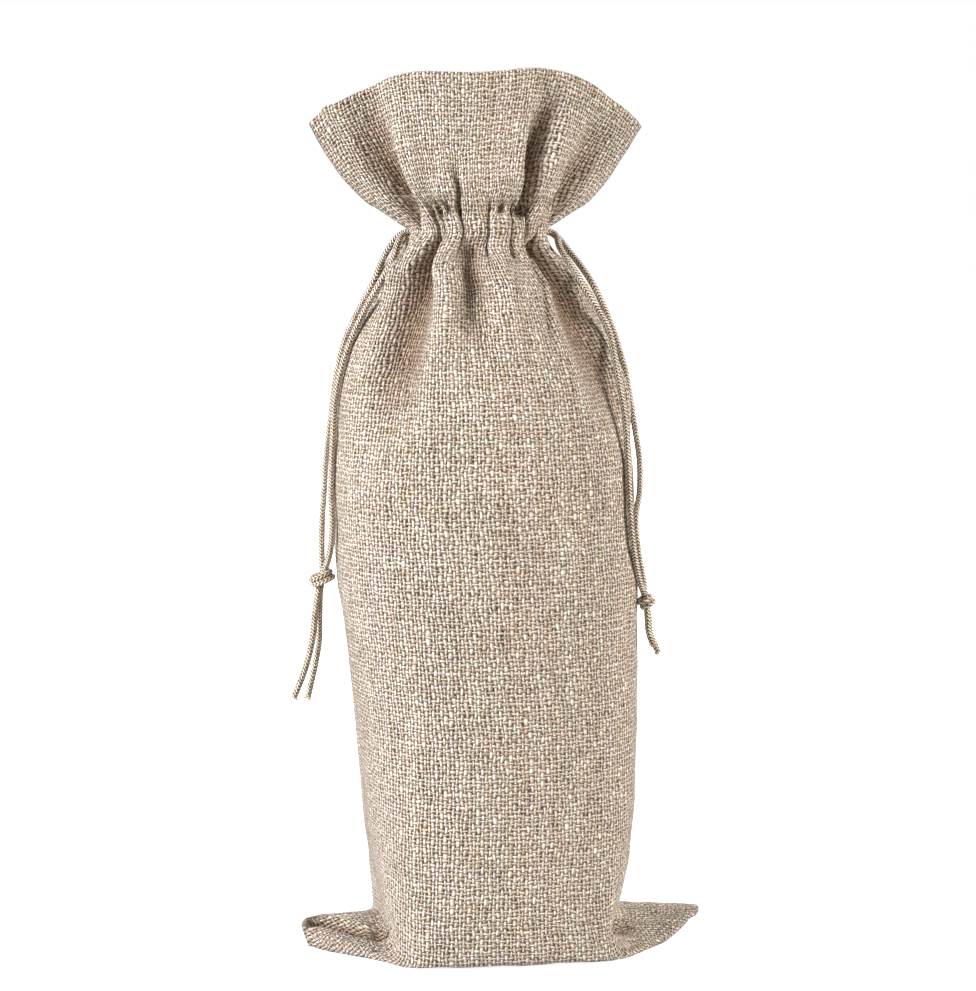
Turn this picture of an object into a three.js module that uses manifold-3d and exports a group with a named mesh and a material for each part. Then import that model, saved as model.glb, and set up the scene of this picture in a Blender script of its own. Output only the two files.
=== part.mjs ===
// A drawstring wine tote: one length of woven cloth, folded across the bottom and sewn up both sides,
// with a doubled heading above a cord casing. It stands filled out as it does round a bottle, with the
// neck drawn in, the heading fanned out above it, and the two bottom corners flat on the ground as
// pointed ears. Millimetres and degrees, +Z up. The origin is the middle of the flat underside, the
// front is -Y, and the side seams are at -X and +X. A place on the cloth is given as "around", the
// distance from the middle of the front towards +X, and "up", the distance from the bottom fold.
import * as THREE from "three";
import { mergeVertices } from "three/addons/utils/BufferGeometryUtils.js";
import Module from "manifold-3d";

// Driving dimensions
const GIRTH = 300; // round the bag: two panels of 150
const SINGLE = 1.6; // thickness of the cloth
const DOUBLED = 2.6; // thickness of the turned-in heading
const CORD = 2.1; // diameter of the drawstrings

const CASING_UP = 288; // place of the casing on the cloth
const RIM_UP = 337; // the top edge
const NECK = { x: -7.5, z: 241.5, ridge: 24.2, valley: 19.7, bore: 14.1 };
const CHANNEL = { inner: 15.1, outer: 18.4, halfHeight: 3 };
const SIDE_OPENING = { width: 15, reach: 32 };

// How far from the casing its effects reach along the cloth. The folded walls of the pleats and the
// bore in the inner skin are whole over "plateau" and gone after "fade" more. The bunching fades over
// "below" and "above", and the broad troughs rise to their full depth over the same.
const PLEAT_REACH = { plateau: 2, fade: 12 };
const BORE_REACH = { plateau: 4.5, fade: 10 };
const BUNCH_REACH = { below: 75, above: 49 };
const TROUGH_RISE = { below: 9, above: 14 };
const PLEAT_WALL = 0.75; // the share of a pleat, from its ridge out, that turns across the neck

// How far the front of the base swings forward for each millimetre to the right. The swing is whole from
// "wholeUp" to "fadeUp", and gone at "goneUp".
const BASE_SKEW = { slope: 0.05, wholeUp: 20, fadeUp: 50, goneUp: 110 };

// Where a cord leaves the bag: "clear" of the pleats, its two strands each "apart" from the middle of
// the seam. Inside, its ring stops "ringGap" degrees short of the seam and it crosses the casing wall
// at "wall".
const EXIT = { clear: 1.2, apart: 1.4, drop: 1, ringGap: 24, wall: 3.6 };

const COLUMNS_PER_PLEAT = 4;
const CORD_SIDES = 8;
const CORD_STEP = 2.7 * CORD;

// The smooth form, level by level up the cloth. "halfX" and "halfY" are the half sizes of the section,
// "lean" is its shift along X, "square" makes its corners tighter as it falls below 1, "lens" above 1
// pinches its sides to a point, and "front" and "side" are the heights of the front and of the seams.
const LEVELS = [
  { up: 0, lean: 0, halfX: 69.5, halfY: 0, square: 0.4, lens: 1, front: 0, side: 0 },
  { up: 1.2, lean: 0, halfX: 69.4, halfY: 1.8, square: 0.4, lens: 1, front: 0, side: 2.6 },
  { up: 4, lean: 0, halfX: 68.2, halfY: 4.6, square: 0.4, lens: 1, front: 0, side: 4.2 },
  { up: 9, lean: 0, halfX: 64.8, halfY: 9.8, square: 0.3, lens: 1, front: 0, side: 4.4 },
  { up: 16, lean: 0, halfX: 59.4, halfY: 17, square: 0.3, lens: 1, front: 0, side: 4.2 },
  { up: 23, lean: 0, halfX: 53.6, halfY: 24.2, square: 0.3, lens: 1, front: 0, side: 4.2 },
  { up: 30, lean: -0.4, halfX: 48, halfY: 31.2, square: 0.3, lens: 1, front: 0, side: 4.4 },
  { up: 36, lean: -0.8, halfX: 44.2, halfY: 36.8, square: 0.3, lens: 1, front: 0.2, side: 6 },
  { up: 41.5, lean: -0.9, halfX: 41.4, halfY: 40.6, square: 0.4, lens: 1, front: 1.4, side: 10 },
  { up: 49, lean: -1.2, halfX: 41.2, halfY: 42, square: 0.52, lens: 1, front: 8.1, side: 16.9 },
  { up: 58, lean: -1.6, halfX: 42, halfY: 42.4, square: 0.62, lens: 1, front: 16.7, side: 24.5 },
  { up: 71, lean: -1.5, halfX: 43.8, halfY: 42.4, square: 0.7, lens: 1, front: 29.9, side: 35.3 },
  { up: 89, lean: -1.2, halfX: 46, halfY: 42.4, square: 0.76, lens: 1, front: 48, side: 50.9 },
  { up: 113, lean: -1.5, halfX: 47.4, halfY: 42.6, square: 0.83, lens: 1, front: 72, side: 73 },
  { up: 142, lean: -3, halfX: 49.1, halfY: 43, square: 0.88, lens: 1, front: 101, side: 101 },
  { up: 170, lean: -4.6, halfX: 51, halfY: 43.4, square: 0.92, lens: 1, front: 129, side: 129 },
  { up: 193, lean: -5.9, halfX: 51, halfY: 43.4, square: 0.93, lens: 1, front: 152, side: 152 },
  { up: 213, lean: -6.3, halfX: 49.9, halfY: 42.5, square: 0.94, lens: 1, front: 172, side: 172 },
  { up: 232, lean: -6.5, halfX: 47.9, halfY: 40.6, square: 0.95, lens: 1, front: 190.8, side: 190.8 },
  { up: 245, lean: -6.7, halfX: 44.7, halfY: 38.2, square: 0.97, lens: 1, front: 203.1, side: 203.1 },
  { up: 256, lean: -6.8, halfX: 41, halfY: 35.6, square: 0.98, lens: 1, front: 213.1, side: 212.9 },
  { up: 266, lean: -6.9, halfX: 37.2, halfY: 33, square: 1, lens: 1, front: 222.2, side: 221.5 },
  { up: 275, lean: -8.5, halfX: 32.1, halfY: 29.4, square: 1, lens: 1, front: 230.1, side: 229.3 },
  { up: 282, lean: -8.7, halfX: 27.1, halfY: 25.8, square: 1, lens: 1, front: 235.9, side: 235.5 },
  { up: 288, lean: -7.5, halfX: 24.2, halfY: 24.2, square: 1, lens: 1, front: 241.5, side: 241.1 },
  { up: 293, lean: -7.6, halfX: 28.4, halfY: 23.6, square: 1, lens: 1.15, front: 246.5, side: 244.1 },
  { up: 298, lean: -7.7, halfX: 33.8, halfY: 22.8, square: 1, lens: 1.35, front: 251.5, side: 247.9 },
  { up: 305, lean: -7.9, halfX: 40, halfY: 21.8, square: 1, lens: 1.55, front: 258.5, side: 253.3 },
  { up: 314, lean: -8.1, halfX: 46, halfY: 21.2, square: 1, lens: 1.7, front: 267.6, side: 259.9 },
  { up: 325, lean: -8.2, halfX: 51.4, halfY: 21.2, square: 1, lens: 1.8, front: 278.9, side: 267.9 },
  { up: 337, lean: -8.1, halfX: 56.2, halfY: 21.6, square: 1, lens: 1.85, front: 290.9, side: 275.7 },
];
const EAR_TOP_UP = 36; // above this level the side of the bag is a wall, and below it the top of an ear
const EAR_TO_WALL = 12; // how far up the cloth the one takes to turn into the other
const SHOULDER_UP = 228; // above this level the height of a place changes all the way from front to seam

// How each ear differs from the smooth form: how much further it reaches, how much higher its seam
// lies, and how far its cloth swells up in front of the seam and behind it.
const LEFT_EAR = [
  { up: 0, reach: -5, seam: 0, front: 0, rear: 0 },
  { up: 1.2, reach: -2.2, seam: 1, front: 0, rear: 0 },
  { up: 4, reach: 0.6, seam: 3, front: 0, rear: 0 },
  { up: 9, reach: 1.6, seam: 4.6, front: 0.4, rear: 0.4 },
  { up: 16, reach: 1.2, seam: 5.1, front: -0.3, rear: 0.2 },
  { up: 23, reach: 0.2, seam: 5.1, front: -1, rear: -0.5 },
  { up: 30, reach: -0.4, seam: 4.8, front: -1.5, rear: -1.1 },
  { up: 36, reach: -0.8, seam: 3, front: -1.2, rear: -1.2 },
  { up: 41.5, reach: -1, seam: -0.4, front: -0.4, rear: -0.8 },
  { up: 49, reach: -0.2, seam: -1.2, front: 0, rear: 0 },
  { up: 58, reach: 0.2, seam: 0, front: 0, rear: 0 },
  { up: 71, reach: 0.1, seam: 0, front: 0, rear: 0 },
  { up: 89, reach: 0, seam: 0, front: 0, rear: 0 },
];
const RIGHT_EAR = [
  { up: 0, reach: 0.4, seam: 0, front: 0, rear: 0 },
  { up: 1.2, reach: 1.2, seam: -0.6, front: 0, rear: 0 },
  { up: 4, reach: 1.6, seam: -0.6, front: 0, rear: 0 },
  { up: 9, reach: 1.2, seam: -0.2, front: 0.2, rear: 0.3 },
  { up: 16, reach: 0.8, seam: 1.2, front: 0, rear: 0.6 },
  { up: 23, reach: 0, seam: 2.8, front: -0.4, rear: 0.8 },
  { up: 30, reach: -0.4, seam: 2.8, front: -0.8, rear: 0.8 },
  { up: 36, reach: -1.2, seam: 1.2, front: -0.8, rear: 0.4 },
  { up: 41.5, reach: -3.4, seam: 0, front: -0.3, rear: 0 },
  { up: 49, reach: -4.2, seam: 0, front: 0, rear: 0 },
  { up: 58, reach: -1.6, seam: 0, front: 0, rear: 0 },
  { up: 71, reach: 0, seam: 0, front: 0, rear: 0 },
  { up: 89, reach: 0, seam: 0, front: 0, rear: 0 },
];
const TIP_LIFT = { fromX: 50, over: 18, rise: 3.3 }; // how the tip of the right ear turns up

// Where the top edge waves up above its smooth line.
const RIM_WAVES = [
  { around: -32, halfWidth: 17, rise: 1.6 },
  { around: 27, halfWidth: 22, rise: 2.8 },
];

// The gathers of the casing, from the left seam round the front and back to it: the angle that each
// takes up round the neck, the length of cloth in it, and how far its ridge lies inside the outermost
// one.
const PLEATS = [
  { angle: 24, cloth: 18, inset: 0.4 },
  { angle: 20.5, cloth: 19, inset: 0 },
  { angle: 6.5, cloth: 8, inset: 1.4 },
  { angle: 14.5, cloth: 14, inset: 0 },
  { angle: 24, cloth: 20, inset: 1.4 },
  { angle: 17, cloth: 16, inset: 0 },
  { angle: 16, cloth: 14, inset: 0.6 },
  { angle: 15, cloth: 13, inset: 0.4 },
  { angle: 20.5, cloth: 14, inset: 1 },
  { angle: 22, cloth: 14, inset: 1.3 },
  { angle: 19, cloth: 15, inset: 1.2 },
  { angle: 16, cloth: 14, inset: 0.4 },
  { angle: 21, cloth: 16, inset: 0.9 },
  { angle: 14, cloth: 13, inset: 0.3 },
  { angle: 25, cloth: 19, inset: 0.5 },
  { angle: 17, cloth: 15, inset: 0 },
  { angle: 15, cloth: 14, inset: 0.8 },
  { angle: 20, cloth: 16, inset: 0.2 },
  { angle: 14, cloth: 13, inset: 0.6 },
  { angle: 19, cloth: 15, inset: 0.3 },
];

// Broad troughs that run out of the gathers. Each goes from "around" at the casing to "endAround" at
// "endUp", with its half widths to the left and to the right and its depth, and keeps the share "left"
// of that depth at its end. Near the casing it is narrower, by the share "narrow", and it opens out
// over "over".
const TROUGHS = [
  // down over the front shoulder
  { around: -61, endAround: -66, endUp: 244, toLeft: 4.5, toRight: 4, depth: 4, left: 0 },
  { around: -37, endAround: -43, endUp: 198, toLeft: 11, toRight: 11, depth: 11, left: 0 },
  { around: -6, endAround: -6, endUp: 226, toLeft: 11, toRight: 7, depth: 6, left: 0 },
  { around: 45, endAround: 46, endUp: 204, toLeft: 13, toRight: 11, depth: 10, left: 0 },
  { around: 61, endAround: 63, endUp: 236, toLeft: 4.5, toRight: 4.5, depth: 4, left: 0 },
  // down over the back shoulder
  { around: 96, endAround: 92, endUp: 222, toLeft: 8, toRight: 8, depth: 8, left: 0 },
  { around: 124, endAround: 121, endUp: 203, toLeft: 9, toRight: 10, depth: 10, left: 0 },
  { around: 150, endAround: 153, endUp: 230, toLeft: 8, toRight: 8, depth: 8, left: 0 },
  { around: 176, endAround: 173, endUp: 200, toLeft: 10, toRight: 9, depth: 10, left: 0 },
  { around: 204, endAround: 201, endUp: 224, toLeft: 8, toRight: 9, depth: 8, left: 0 },
  // up the front of the heading
  { around: -51, endAround: -49, endUp: 337, toLeft: 11, toRight: 6, depth: 10, left: 0.35 },
  { around: -15, endAround: -13, endUp: 318, toLeft: 5, toRight: 4, depth: 4, left: 0 },
  { around: 28, endAround: 27, endUp: 337, toLeft: 5.5, toRight: 6.5, depth: 9, left: 0.25 },
  { around: 54, endAround: 57, endUp: 337, toLeft: 7, toRight: 8, depth: 7, left: 0.2 },
  // up the back of the heading
  { around: 96, endAround: 94, endUp: 337, toLeft: 9, toRight: 9, depth: 7, left: 0.5 },
  { around: 124, endAround: 120, endUp: 337, toLeft: 8, toRight: 8, depth: 8, left: 0.4 },
  { around: 152, endAround: 152, endUp: 321, toLeft: 7, toRight: 7, depth: 6, left: 0 },
  { around: 178, endAround: 182, endUp: 337, toLeft: 8, toRight: 11, depth: 7, left: 0.5 },
  { around: 206, endAround: 208, endUp: 337, toLeft: 11, toRight: 9, depth: 6, left: 0.3 },
];
const TROUGH_SPREAD = { narrow: 0.5, over: 34 };
const TROUGH_SHAPE = { walls: 2.6, fall: 1.6 }; // powers: steeper walls, and a later fall

// Each drawstring hangs as two strands from its side opening to a knot, and leaves two tails below it.
// The routes start just outside the opening.
const DRAWSTRINGS = [
  {
    name: "drawstring_left",
    side: -1,
    ringZ: 242.7,
    knot: { at: [-60.4, 5, 125], halfSize: [4.2, 3.4, 3.3] },
    strands: [
      [
        [-35.7, -6.1, 237.5], [-38, -9.4, 232.2], [-42.4, -12, 225], [-47.5, -8.6, 215],
        [-51.8, -6.4, 205], [-55, -5.4, 195], [-56.7, -2.6, 184], [-57.5, -4.4, 174], [-58, -4.2, 164],
        [-58.2, -3.8, 154], [-57.9, -4.2, 144], [-58.3, 0.4, 134],
      ],
      [
        [-36.7, -1.6, 237.6], [-40, -2.8, 232.6], [-43.9, -7, 225], [-48.5, -2.4, 215],
        [-52.3, 3, 205], [-55.1, 2, 195], [-56.6, 2.4, 185], [-57.8, 4.1, 175], [-58.6, 7, 165],
        [-59.2, 7, 155], [-60, 6.6, 145], [-60.3, 6, 134],
      ],
    ],
    tails: [
      [
        [-61.9, 4.6, 119.5], [-63, 4.6, 112], [-63.9, 4.6, 104], [-66.6, 4, 94], [-70.4, 3, 85],
      ],
      [
        [-60.9, 6.4, 119.5], [-61, 7.4, 112], [-61.2, 8, 103], [-62.3, 8.2, 96], [-65.1, 8, 84],
      ],
    ],
  },
  {
    name: "drawstring_right",
    side: 1,
    ringZ: 240,
    knot: { at: [46.7, -16.8, 117.2], halfSize: [2.6, 2.6, 3.7] },
    strands: [
      [
        [23.5, -4, 233.4], [28.6, -9.4, 225], [34, -8.2, 215], [37.6, -9.2, 205], [40.2, -11.2, 195],
        [41.9, -12, 185], [43.7, -12, 175], [45, -13, 165], [44.4, -16, 155], [41.8, -21.2, 145.6],
        [42.8, -20.6, 135.4], [45.2, -17.8, 126],
      ],
      [
        [18.4, -9.6, 235.4], [22.6, -15.8, 227], [26.9, -18.8, 219], [33, -17.8, 209],
        [35, -22.3, 194], [37.4, -23.9, 179], [38.1, -25.2, 163], [38.8, -26.2, 147],
        [40, -25.2, 137.6], [43.2, -20.8, 125.6],
      ],
    ],
    tails: [
      [
        [48, -15.6, 111.4], [48.8, -14.6, 106], [50.6, -14.2, 101.8], [51.7, -14, 99.3],
      ],
      [
        [47, -17.6, 111.4], [47.4, -17.8, 107], [48.8, -17.6, 103],
      ],
    ],
  },
];

const wasm = await Module();
wasm.setup();

const mix = (a, b, share) => a + (b - a) * share;
const clamp01 = (x) => Math.min(1, Math.max(0, x));
const easeInOut = (x) => clamp01(x) ** 2 * (3 - 2 * clamp01(x));
const signedPower = (x, power) => Math.sign(x) * Math.abs(x) ** power;

// A table's row at any place up the cloth, on a smooth curve that never overshoots its rows.
function rowAt(table, up) {
  const last = table.length - 2;
  const found = table.findIndex((row) => row.up > up) - 1;
  const i = found < 0 ? last : Math.min(found, last);
  const span = table[i + 1].up - table[i].up;
  const u = clamp01((up - table[i].up) / span);
  const slope = (column, k) => (table[k + 1][column] - table[k][column]) / (table[k + 1].up - table[k].up);
  const tangent = (column, k) => {
    const before = slope(column, Math.max(0, k - 1));
    const after = slope(column, Math.min(last, k));
    return before * after <= 0 ? 0 : (2 * before * after) / (before + after);
  };
  const value = (column) =>
    table[i][column] * (1 + 2 * u) * (1 - u) ** 2 +
    tangent(column, i) * span * u * (1 - u) ** 2 +
    table[i + 1][column] * u * u * (3 - 2 * u) +
    tangent(column, i + 1) * span * u * u * (u - 1);
  return Object.fromEntries(Object.keys(table[0]).map((column) => [column, value(column)]));
}

// Where each pleat starts, along the cloth and round the neck as a share of the turn.
const pleatStarts = [{ around: -GIRTH / 4, turn: -0.25 }];
for (const { angle, cloth } of PLEATS) {
  const previous = pleatStarts.at(-1);
  pleatStarts.push({ around: previous.around + cloth, turn: previous.turn + angle / 360 });
}

// The pleat that holds a place round the cloth, and where in it: -1 and 1 are its valleys, and 0 is its
// ridge.
function pleatAt(around) {
  const wrapped = THREE.MathUtils.euclideanModulo(around + GIRTH / 4, GIRTH) - GIRTH / 4;
  const next = pleatStarts.findIndex((start) => start.around > wrapped + 1e-9);
  const index = (next < 0 ? PLEATS.length : next) - 1;
  const { cloth, angle, inset } = PLEATS[index];
  const across = (2 * (wrapped - pleatStarts[index].around)) / cloth - 1;
  const turns = (around - wrapped) / GIRTH;
  return { across, inset, width: angle / 360, turn: pleatStarts[index].turn + turns };
}

// Weights that are 1 at the casing and fade out below and above it.
const nearCasing = (up, plateau, fade) => 1 - easeInOut((Math.abs(up - CASING_UP) - plateau) / fade);
const sided = (up, { below, above }) => (up > CASING_UP ? above : below);
const pleatWeight = (up) => nearCasing(up, PLEAT_REACH.plateau, PLEAT_REACH.fade);
const boreWeight = (up) => nearCasing(up, BORE_REACH.plateau, BORE_REACH.fade);
const bunchWeight = (up) => nearCasing(up, 0, sided(up, BUNCH_REACH));
const troughWeight = (up) => 1 - nearCasing(up, 0, sided(up, TROUGH_RISE));

// The share of the turn, round the section, that a place on the cloth comes to.
function turnAt(around, up) {
  const even = around / GIRTH;
  const { across, width, turn } = pleatAt(around);
  const gathered = turn + width * (0.5 + across / 2);
  const wall = Math.sin((clamp01(Math.abs(across) / PLEAT_WALL) * Math.PI) / 2) * Math.sign(across);
  const folded = turn + width * (0.5 + wall / 2);
  return mix(even, mix(gathered, folded, pleatWeight(up)), bunchWeight(up));
}

// How far the gathers and the troughs push the cloth inwards at one place.
function foldDepth(around, up) {
  const { across, inset } = pleatAt(around);
  const valley = 1 - Math.cos((Math.PI / 2) * Math.abs(across) ** 1.5);
  const casing = mix(inset, NECK.ridge - NECK.valley, valley) * pleatWeight(up);
  let broad = 0;
  for (const trough of TROUGHS) {
    const along = (up - CASING_UP) / (trough.endUp - CASING_UP);
    if (along < 0) continue;
    const centre = mix(trough.around, trough.endAround, Math.min(along, 1));
    const off = THREE.MathUtils.euclideanModulo(around - centre + GIRTH / 2, GIRTH) - GIRTH / 2;
    const strength = mix(1, trough.left, easeInOut(along ** TROUGH_SHAPE.fall));
    const spread = mix(TROUGH_SPREAD.narrow, 1, easeInOut(Math.abs(up - CASING_UP) / TROUGH_SPREAD.over));
    const halfWidth = spread * (off < 0 ? trough.toLeft : trough.toRight);
    broad += trough.depth * strength * Math.exp(-((Math.abs(off) / halfWidth) ** TROUGH_SHAPE.walls));
  }
  return casing + broad * troughWeight(up);
}

// The section at one level as a closed line of points with the share of the cloth run along it, a
// quarter for each quarter of the section. On the inner skin the floor lies "thick" above the ground,
// and the roof of the ears "thick" below their tops.
const SECTION_STEPS = 720;
const FLOOR_FADE = 5; // height over which the floor's thickness gives way to the wall's
function sectionAt(up, inner) {
  const level = rowAt(LEVELS, up);
  const sides = [LEFT_EAR, RIGHT_EAR].map((table) => rowAt(table, up));
  for (const side of sides) side.seam += level.side;
  if (inner) {
    const thick = up > CASING_UP ? DOUBLED : SINGLE;
    const bore = boreWeight(up);
    level.halfX = mix(level.halfX - thick, NECK.bore, bore);
    level.halfY = mix(Math.max(level.halfY - thick, level.halfY / 4), NECK.bore, bore);
    level.lens = mix(level.lens, 1, bore);
    level.front += thick * Math.exp(-level.front / FLOOR_FADE);
    const earTop = 1 - easeInOut((up - EAR_TOP_UP) / EAR_TO_WALL);
    const lowest = earTop > 0 ? level.front + 0.1 * Math.min(up, 8) : 0;
    for (const side of sides) side.seam = Math.max(side.seam - thick * earTop, lowest);
  }
  for (const side of sides) side.halfX = level.halfX + side.reach;
  const { slope, wholeUp, fadeUp, goneUp } = BASE_SKEW;
  const skew = slope * easeInOut(up / wholeUp) * (1 - easeInOut((up - fadeUp) / (goneUp - fadeUp)));
  const points = [];
  let run = 0;
  for (let i = 0; i <= SECTION_STEPS; i++) {
    const turn = (2 * Math.PI * i) / SECTION_STEPS;
    const { halfX } = sides[turn < Math.PI ? 1 : 0];
    const x = level.lean + halfX * signedPower(Math.sin(turn), level.square);
    const across = -level.halfY * signedPower(Math.cos(turn), level.square * level.lens);
    const y = across - skew * x;
    if (i > 0) run += Math.hypot(x - points[i - 1].x, y - points[i - 1].y);
    points.push({ x, y, run });
  }
  const quarter = SECTION_STEPS / 4;
  const corners = [0, 1, 2, 3, 4].map((k) => points[k * quarter].run);
  points.forEach((point, i) => {
    const k = Math.min(3, Math.floor(i / quarter));
    point.run = (k + (point.run - corners[k]) / (corners[k + 1] - corners[k])) / 4;
  });
  return { level, sides, points };
}

function pointOnSection({ points }, turn) {
  const run = THREE.MathUtils.euclideanModulo(turn, 1);
  let low = 0;
  let high = points.length - 1;
  while (high - low > 1) {
    const middle = (low + high) >> 1;
    if (points[middle].run > run) high = middle;
    else low = middle;
  }
  const share = (run - points[low].run) / (points[high].run - points[low].run || 1);
  return [mix(points[low].x, points[high].x, share), mix(points[low].y, points[high].y, share)];
}

// The height at a place round the section. Low down it changes only past the corner of the section, and
// over the shoulder and up the heading it changes all the way from the front to the side seam.
function heightAt({ level, sides }, turn) {
  const place = THREE.MathUtils.euclideanModulo(turn, 1);
  const { halfX, seam, front, rear } = sides[place < 0.5 ? 1 : 0];
  const toSide = 1 - Math.abs(1 - ((4 * place) % 2));
  const corner = halfX / (halfX + level.halfY);
  const past = clamp01((toSide - corner) / Math.max(1 - corner, 1e-6));
  const lift = level.up > SHOULDER_UP ? toSide ** 3 : Math.sin((Math.PI / 2) * past);
  const swell = Math.abs(place - 0.5) < 0.25 ? rear : front;
  return mix(level.front, seam, lift) + swell * Math.sin(Math.PI * past) ** 2;
}

// How far the waves of the top edge lift the heading.
function rimLift(around, up) {
  const share = easeInOut((up - CASING_UP) / (RIM_UP - CASING_UP));
  const bell = ({ around: centre, halfWidth }) => Math.exp(-(((around - centre) / halfWidth) ** 2));
  return share * RIM_WAVES.reduce((sum, wave) => sum + wave.rise * bell(wave), 0);
}

function clothPoint(section, around, up) {
  const turn = turnAt(around, up);
  const [x, y] = pointOnSection(section, turn);
  const [x0, y0] = pointOnSection(section, turn - 0.004);
  const [x1, y1] = pointOnSection(section, turn + 0.004);
  const length = Math.hypot(x1 - x0, y1 - y0) || 1;
  const push = foldDepth(around, up) * (section.inner ? 1 - boreWeight(up) ** 4 : 1);
  const tip = TIP_LIFT.rise * easeInOut((x - TIP_LIFT.fromX) / TIP_LIFT.over);
  return new THREE.Vector3(
    x - (push * (y1 - y0)) / length,
    y + (push * (x1 - x0)) / length,
    heightAt(section, turn) + rimLift(around, up) + tip,
  );
}

// Columns of the mesh keep a fixed share on each side of the section's corners at the bottom, so that
// the edges of the ears come out straight, and run along the pleats from PLEATED_UP on.
const CORNERED_UP = 60;
const PLEATED_UP = 180;
function columnAround(column, { halfX, halfY, up }) {
  const pleat = Math.floor(column / COLUMNS_PER_PLEAT);
  const within = (column % COLUMNS_PER_PLEAT) / COLUMNS_PER_PLEAT;
  const pleated = pleatStarts[pleat].around + within * PLEATS[pleat].cloth;

  const even = (2 * column) / (PLEATS.length * COLUMNS_PER_PLEAT);
  const toSide = Math.abs(2 * (even % 1) - 1);
  const corner = Math.min(halfX / (halfX + halfY), 0.9);
  const moved = toSide < 0.5 ? 2 * corner * toSide : mix(corner, 1, 2 * toSide - 1);
  const middle = even < 1 ? 0 : GIRTH / 2;
  const cornered = middle + Math.sign(2 * (even % 1) - 1) * moved * (GIRTH / 4);
  return mix(cornered, pleated, easeInOut((up - CORNERED_UP) / (PLEATED_UP - CORNERED_UP)));
}

// The outer skin from the bottom fold to the rim, and the inner skin back down. The inner one is
// smoother, so away from the casing it keeps every second level.
const FINE_NEAR_CASING = 24;
const FINE_NEAR_EARS = { from: 20, to: 60 };
function makeCloth() {
  const columns = PLEATS.length * COLUMNS_PER_PLEAT;
  const outerRows = LEVELS.map((row) => row.up);
  const nearEars = (up) => up > FINE_NEAR_EARS.from && up < FINE_NEAR_EARS.to;
  const nearCasingRow = (up) => Math.abs(up - CASING_UP) < FINE_NEAR_CASING;
  const onInnerSkin = (up, i) => i % 2 === 0 || nearEars(up) || nearCasingRow(up);
  const innerRows = outerRows.filter(onInnerSkin).reverse();
  const positions = [];
  const addRow = (up, inner) => {
    const section = { ...sectionAt(up, inner), inner };
    for (let column = 0; column < columns; column++) {
      positions.push(...clothPoint(section, columnAround(column, section.level), up).toArray());
    }
  };
  outerRows.forEach((up) => addRow(up, false));
  innerRows.forEach((up) => addRow(up, true));

  const indices = [];
  for (let row = 0; row < outerRows.length + innerRows.length - 1; row++) {
    for (let column = 0; column < columns; column++) {
      const next = (column + 1) % columns;
      const a = row * columns + column;
      const b = row * columns + next;
      indices.push(a, b, b + columns, a, b + columns, a + columns);
    }
  }
  const geometry = new THREE.BufferGeometry();
  geometry.setAttribute("position", new THREE.Float32BufferAttribute(positions, 3));
  geometry.setIndex(indices);
  return geometry;
}

function toSolid(geometry) {
  const bare = geometry.clone();
  bare.deleteAttribute("normal");
  bare.deleteAttribute("uv");
  const merged = mergeVertices(bare, 1e-4);
  return new wasm.Manifold(
    new wasm.Mesh({
      numProp: 3,
      vertProperties: merged.getAttribute("position").array,
      triVerts: new Uint32Array(merged.index.array),
    }),
  );
}

function toGeometry(solid) {
  const mesh = solid.getMesh();
  const geometry = new THREE.BufferGeometry();
  geometry.setAttribute("position", new THREE.BufferAttribute(mesh.vertProperties, 3));
  geometry.setIndex(new THREE.BufferAttribute(mesh.triVerts, 1));
  geometry.computeVertexNormals();
  return geometry;
}

// The hollow that the cords run in, all round inside the casing and out at both side seams.
const CHANNEL_SIDES = 48;
function makeChannel() {
  const { inner, outer, halfHeight } = CHANNEL;
  const profile = [
    [inner, -halfHeight],
    [outer, -halfHeight],
    [outer, halfHeight],
    [inner, halfHeight],
    [inner, -halfHeight],
  ].map(([radius, z]) => new THREE.Vector2(radius, z));
  const ring = new THREE.LatheGeometry(profile, CHANNEL_SIDES)
    .rotateX(Math.PI / 2)
    .translate(NECK.x, 0, NECK.z);
  let solid = toSolid(ring);
  const length = SIDE_OPENING.reach - inner;
  for (const side of [-1, 1]) {
    const opening = new THREE.BoxGeometry(length, SIDE_OPENING.width, 2 * halfHeight).translate(
      NECK.x + side * (inner + length / 2),
      0,
      NECK.z,
    );
    solid = solid.add(toSolid(opening));
  }
  return solid;
}

function makeCordTube(points) {
  const places = points.map((p) => new THREE.Vector3(...p));
  const route = new THREE.CatmullRomCurve3(places, false, "centripetal");
  const section = new THREE.Shape();
  for (let i = 0; i < CORD_SIDES; i++) {
    const angle = (2 * Math.PI * i) / CORD_SIDES;
    section[i ? "lineTo" : "moveTo"]((CORD / 2) * Math.cos(angle), (CORD / 2) * Math.sin(angle));
  }
  section.closePath();
  const steps = Math.ceil(route.getLength() / CORD_STEP);
  return toSolid(new THREE.ExtrudeGeometry(section, { steps, extrudePath: route, bevelEnabled: false }));
}

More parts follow.
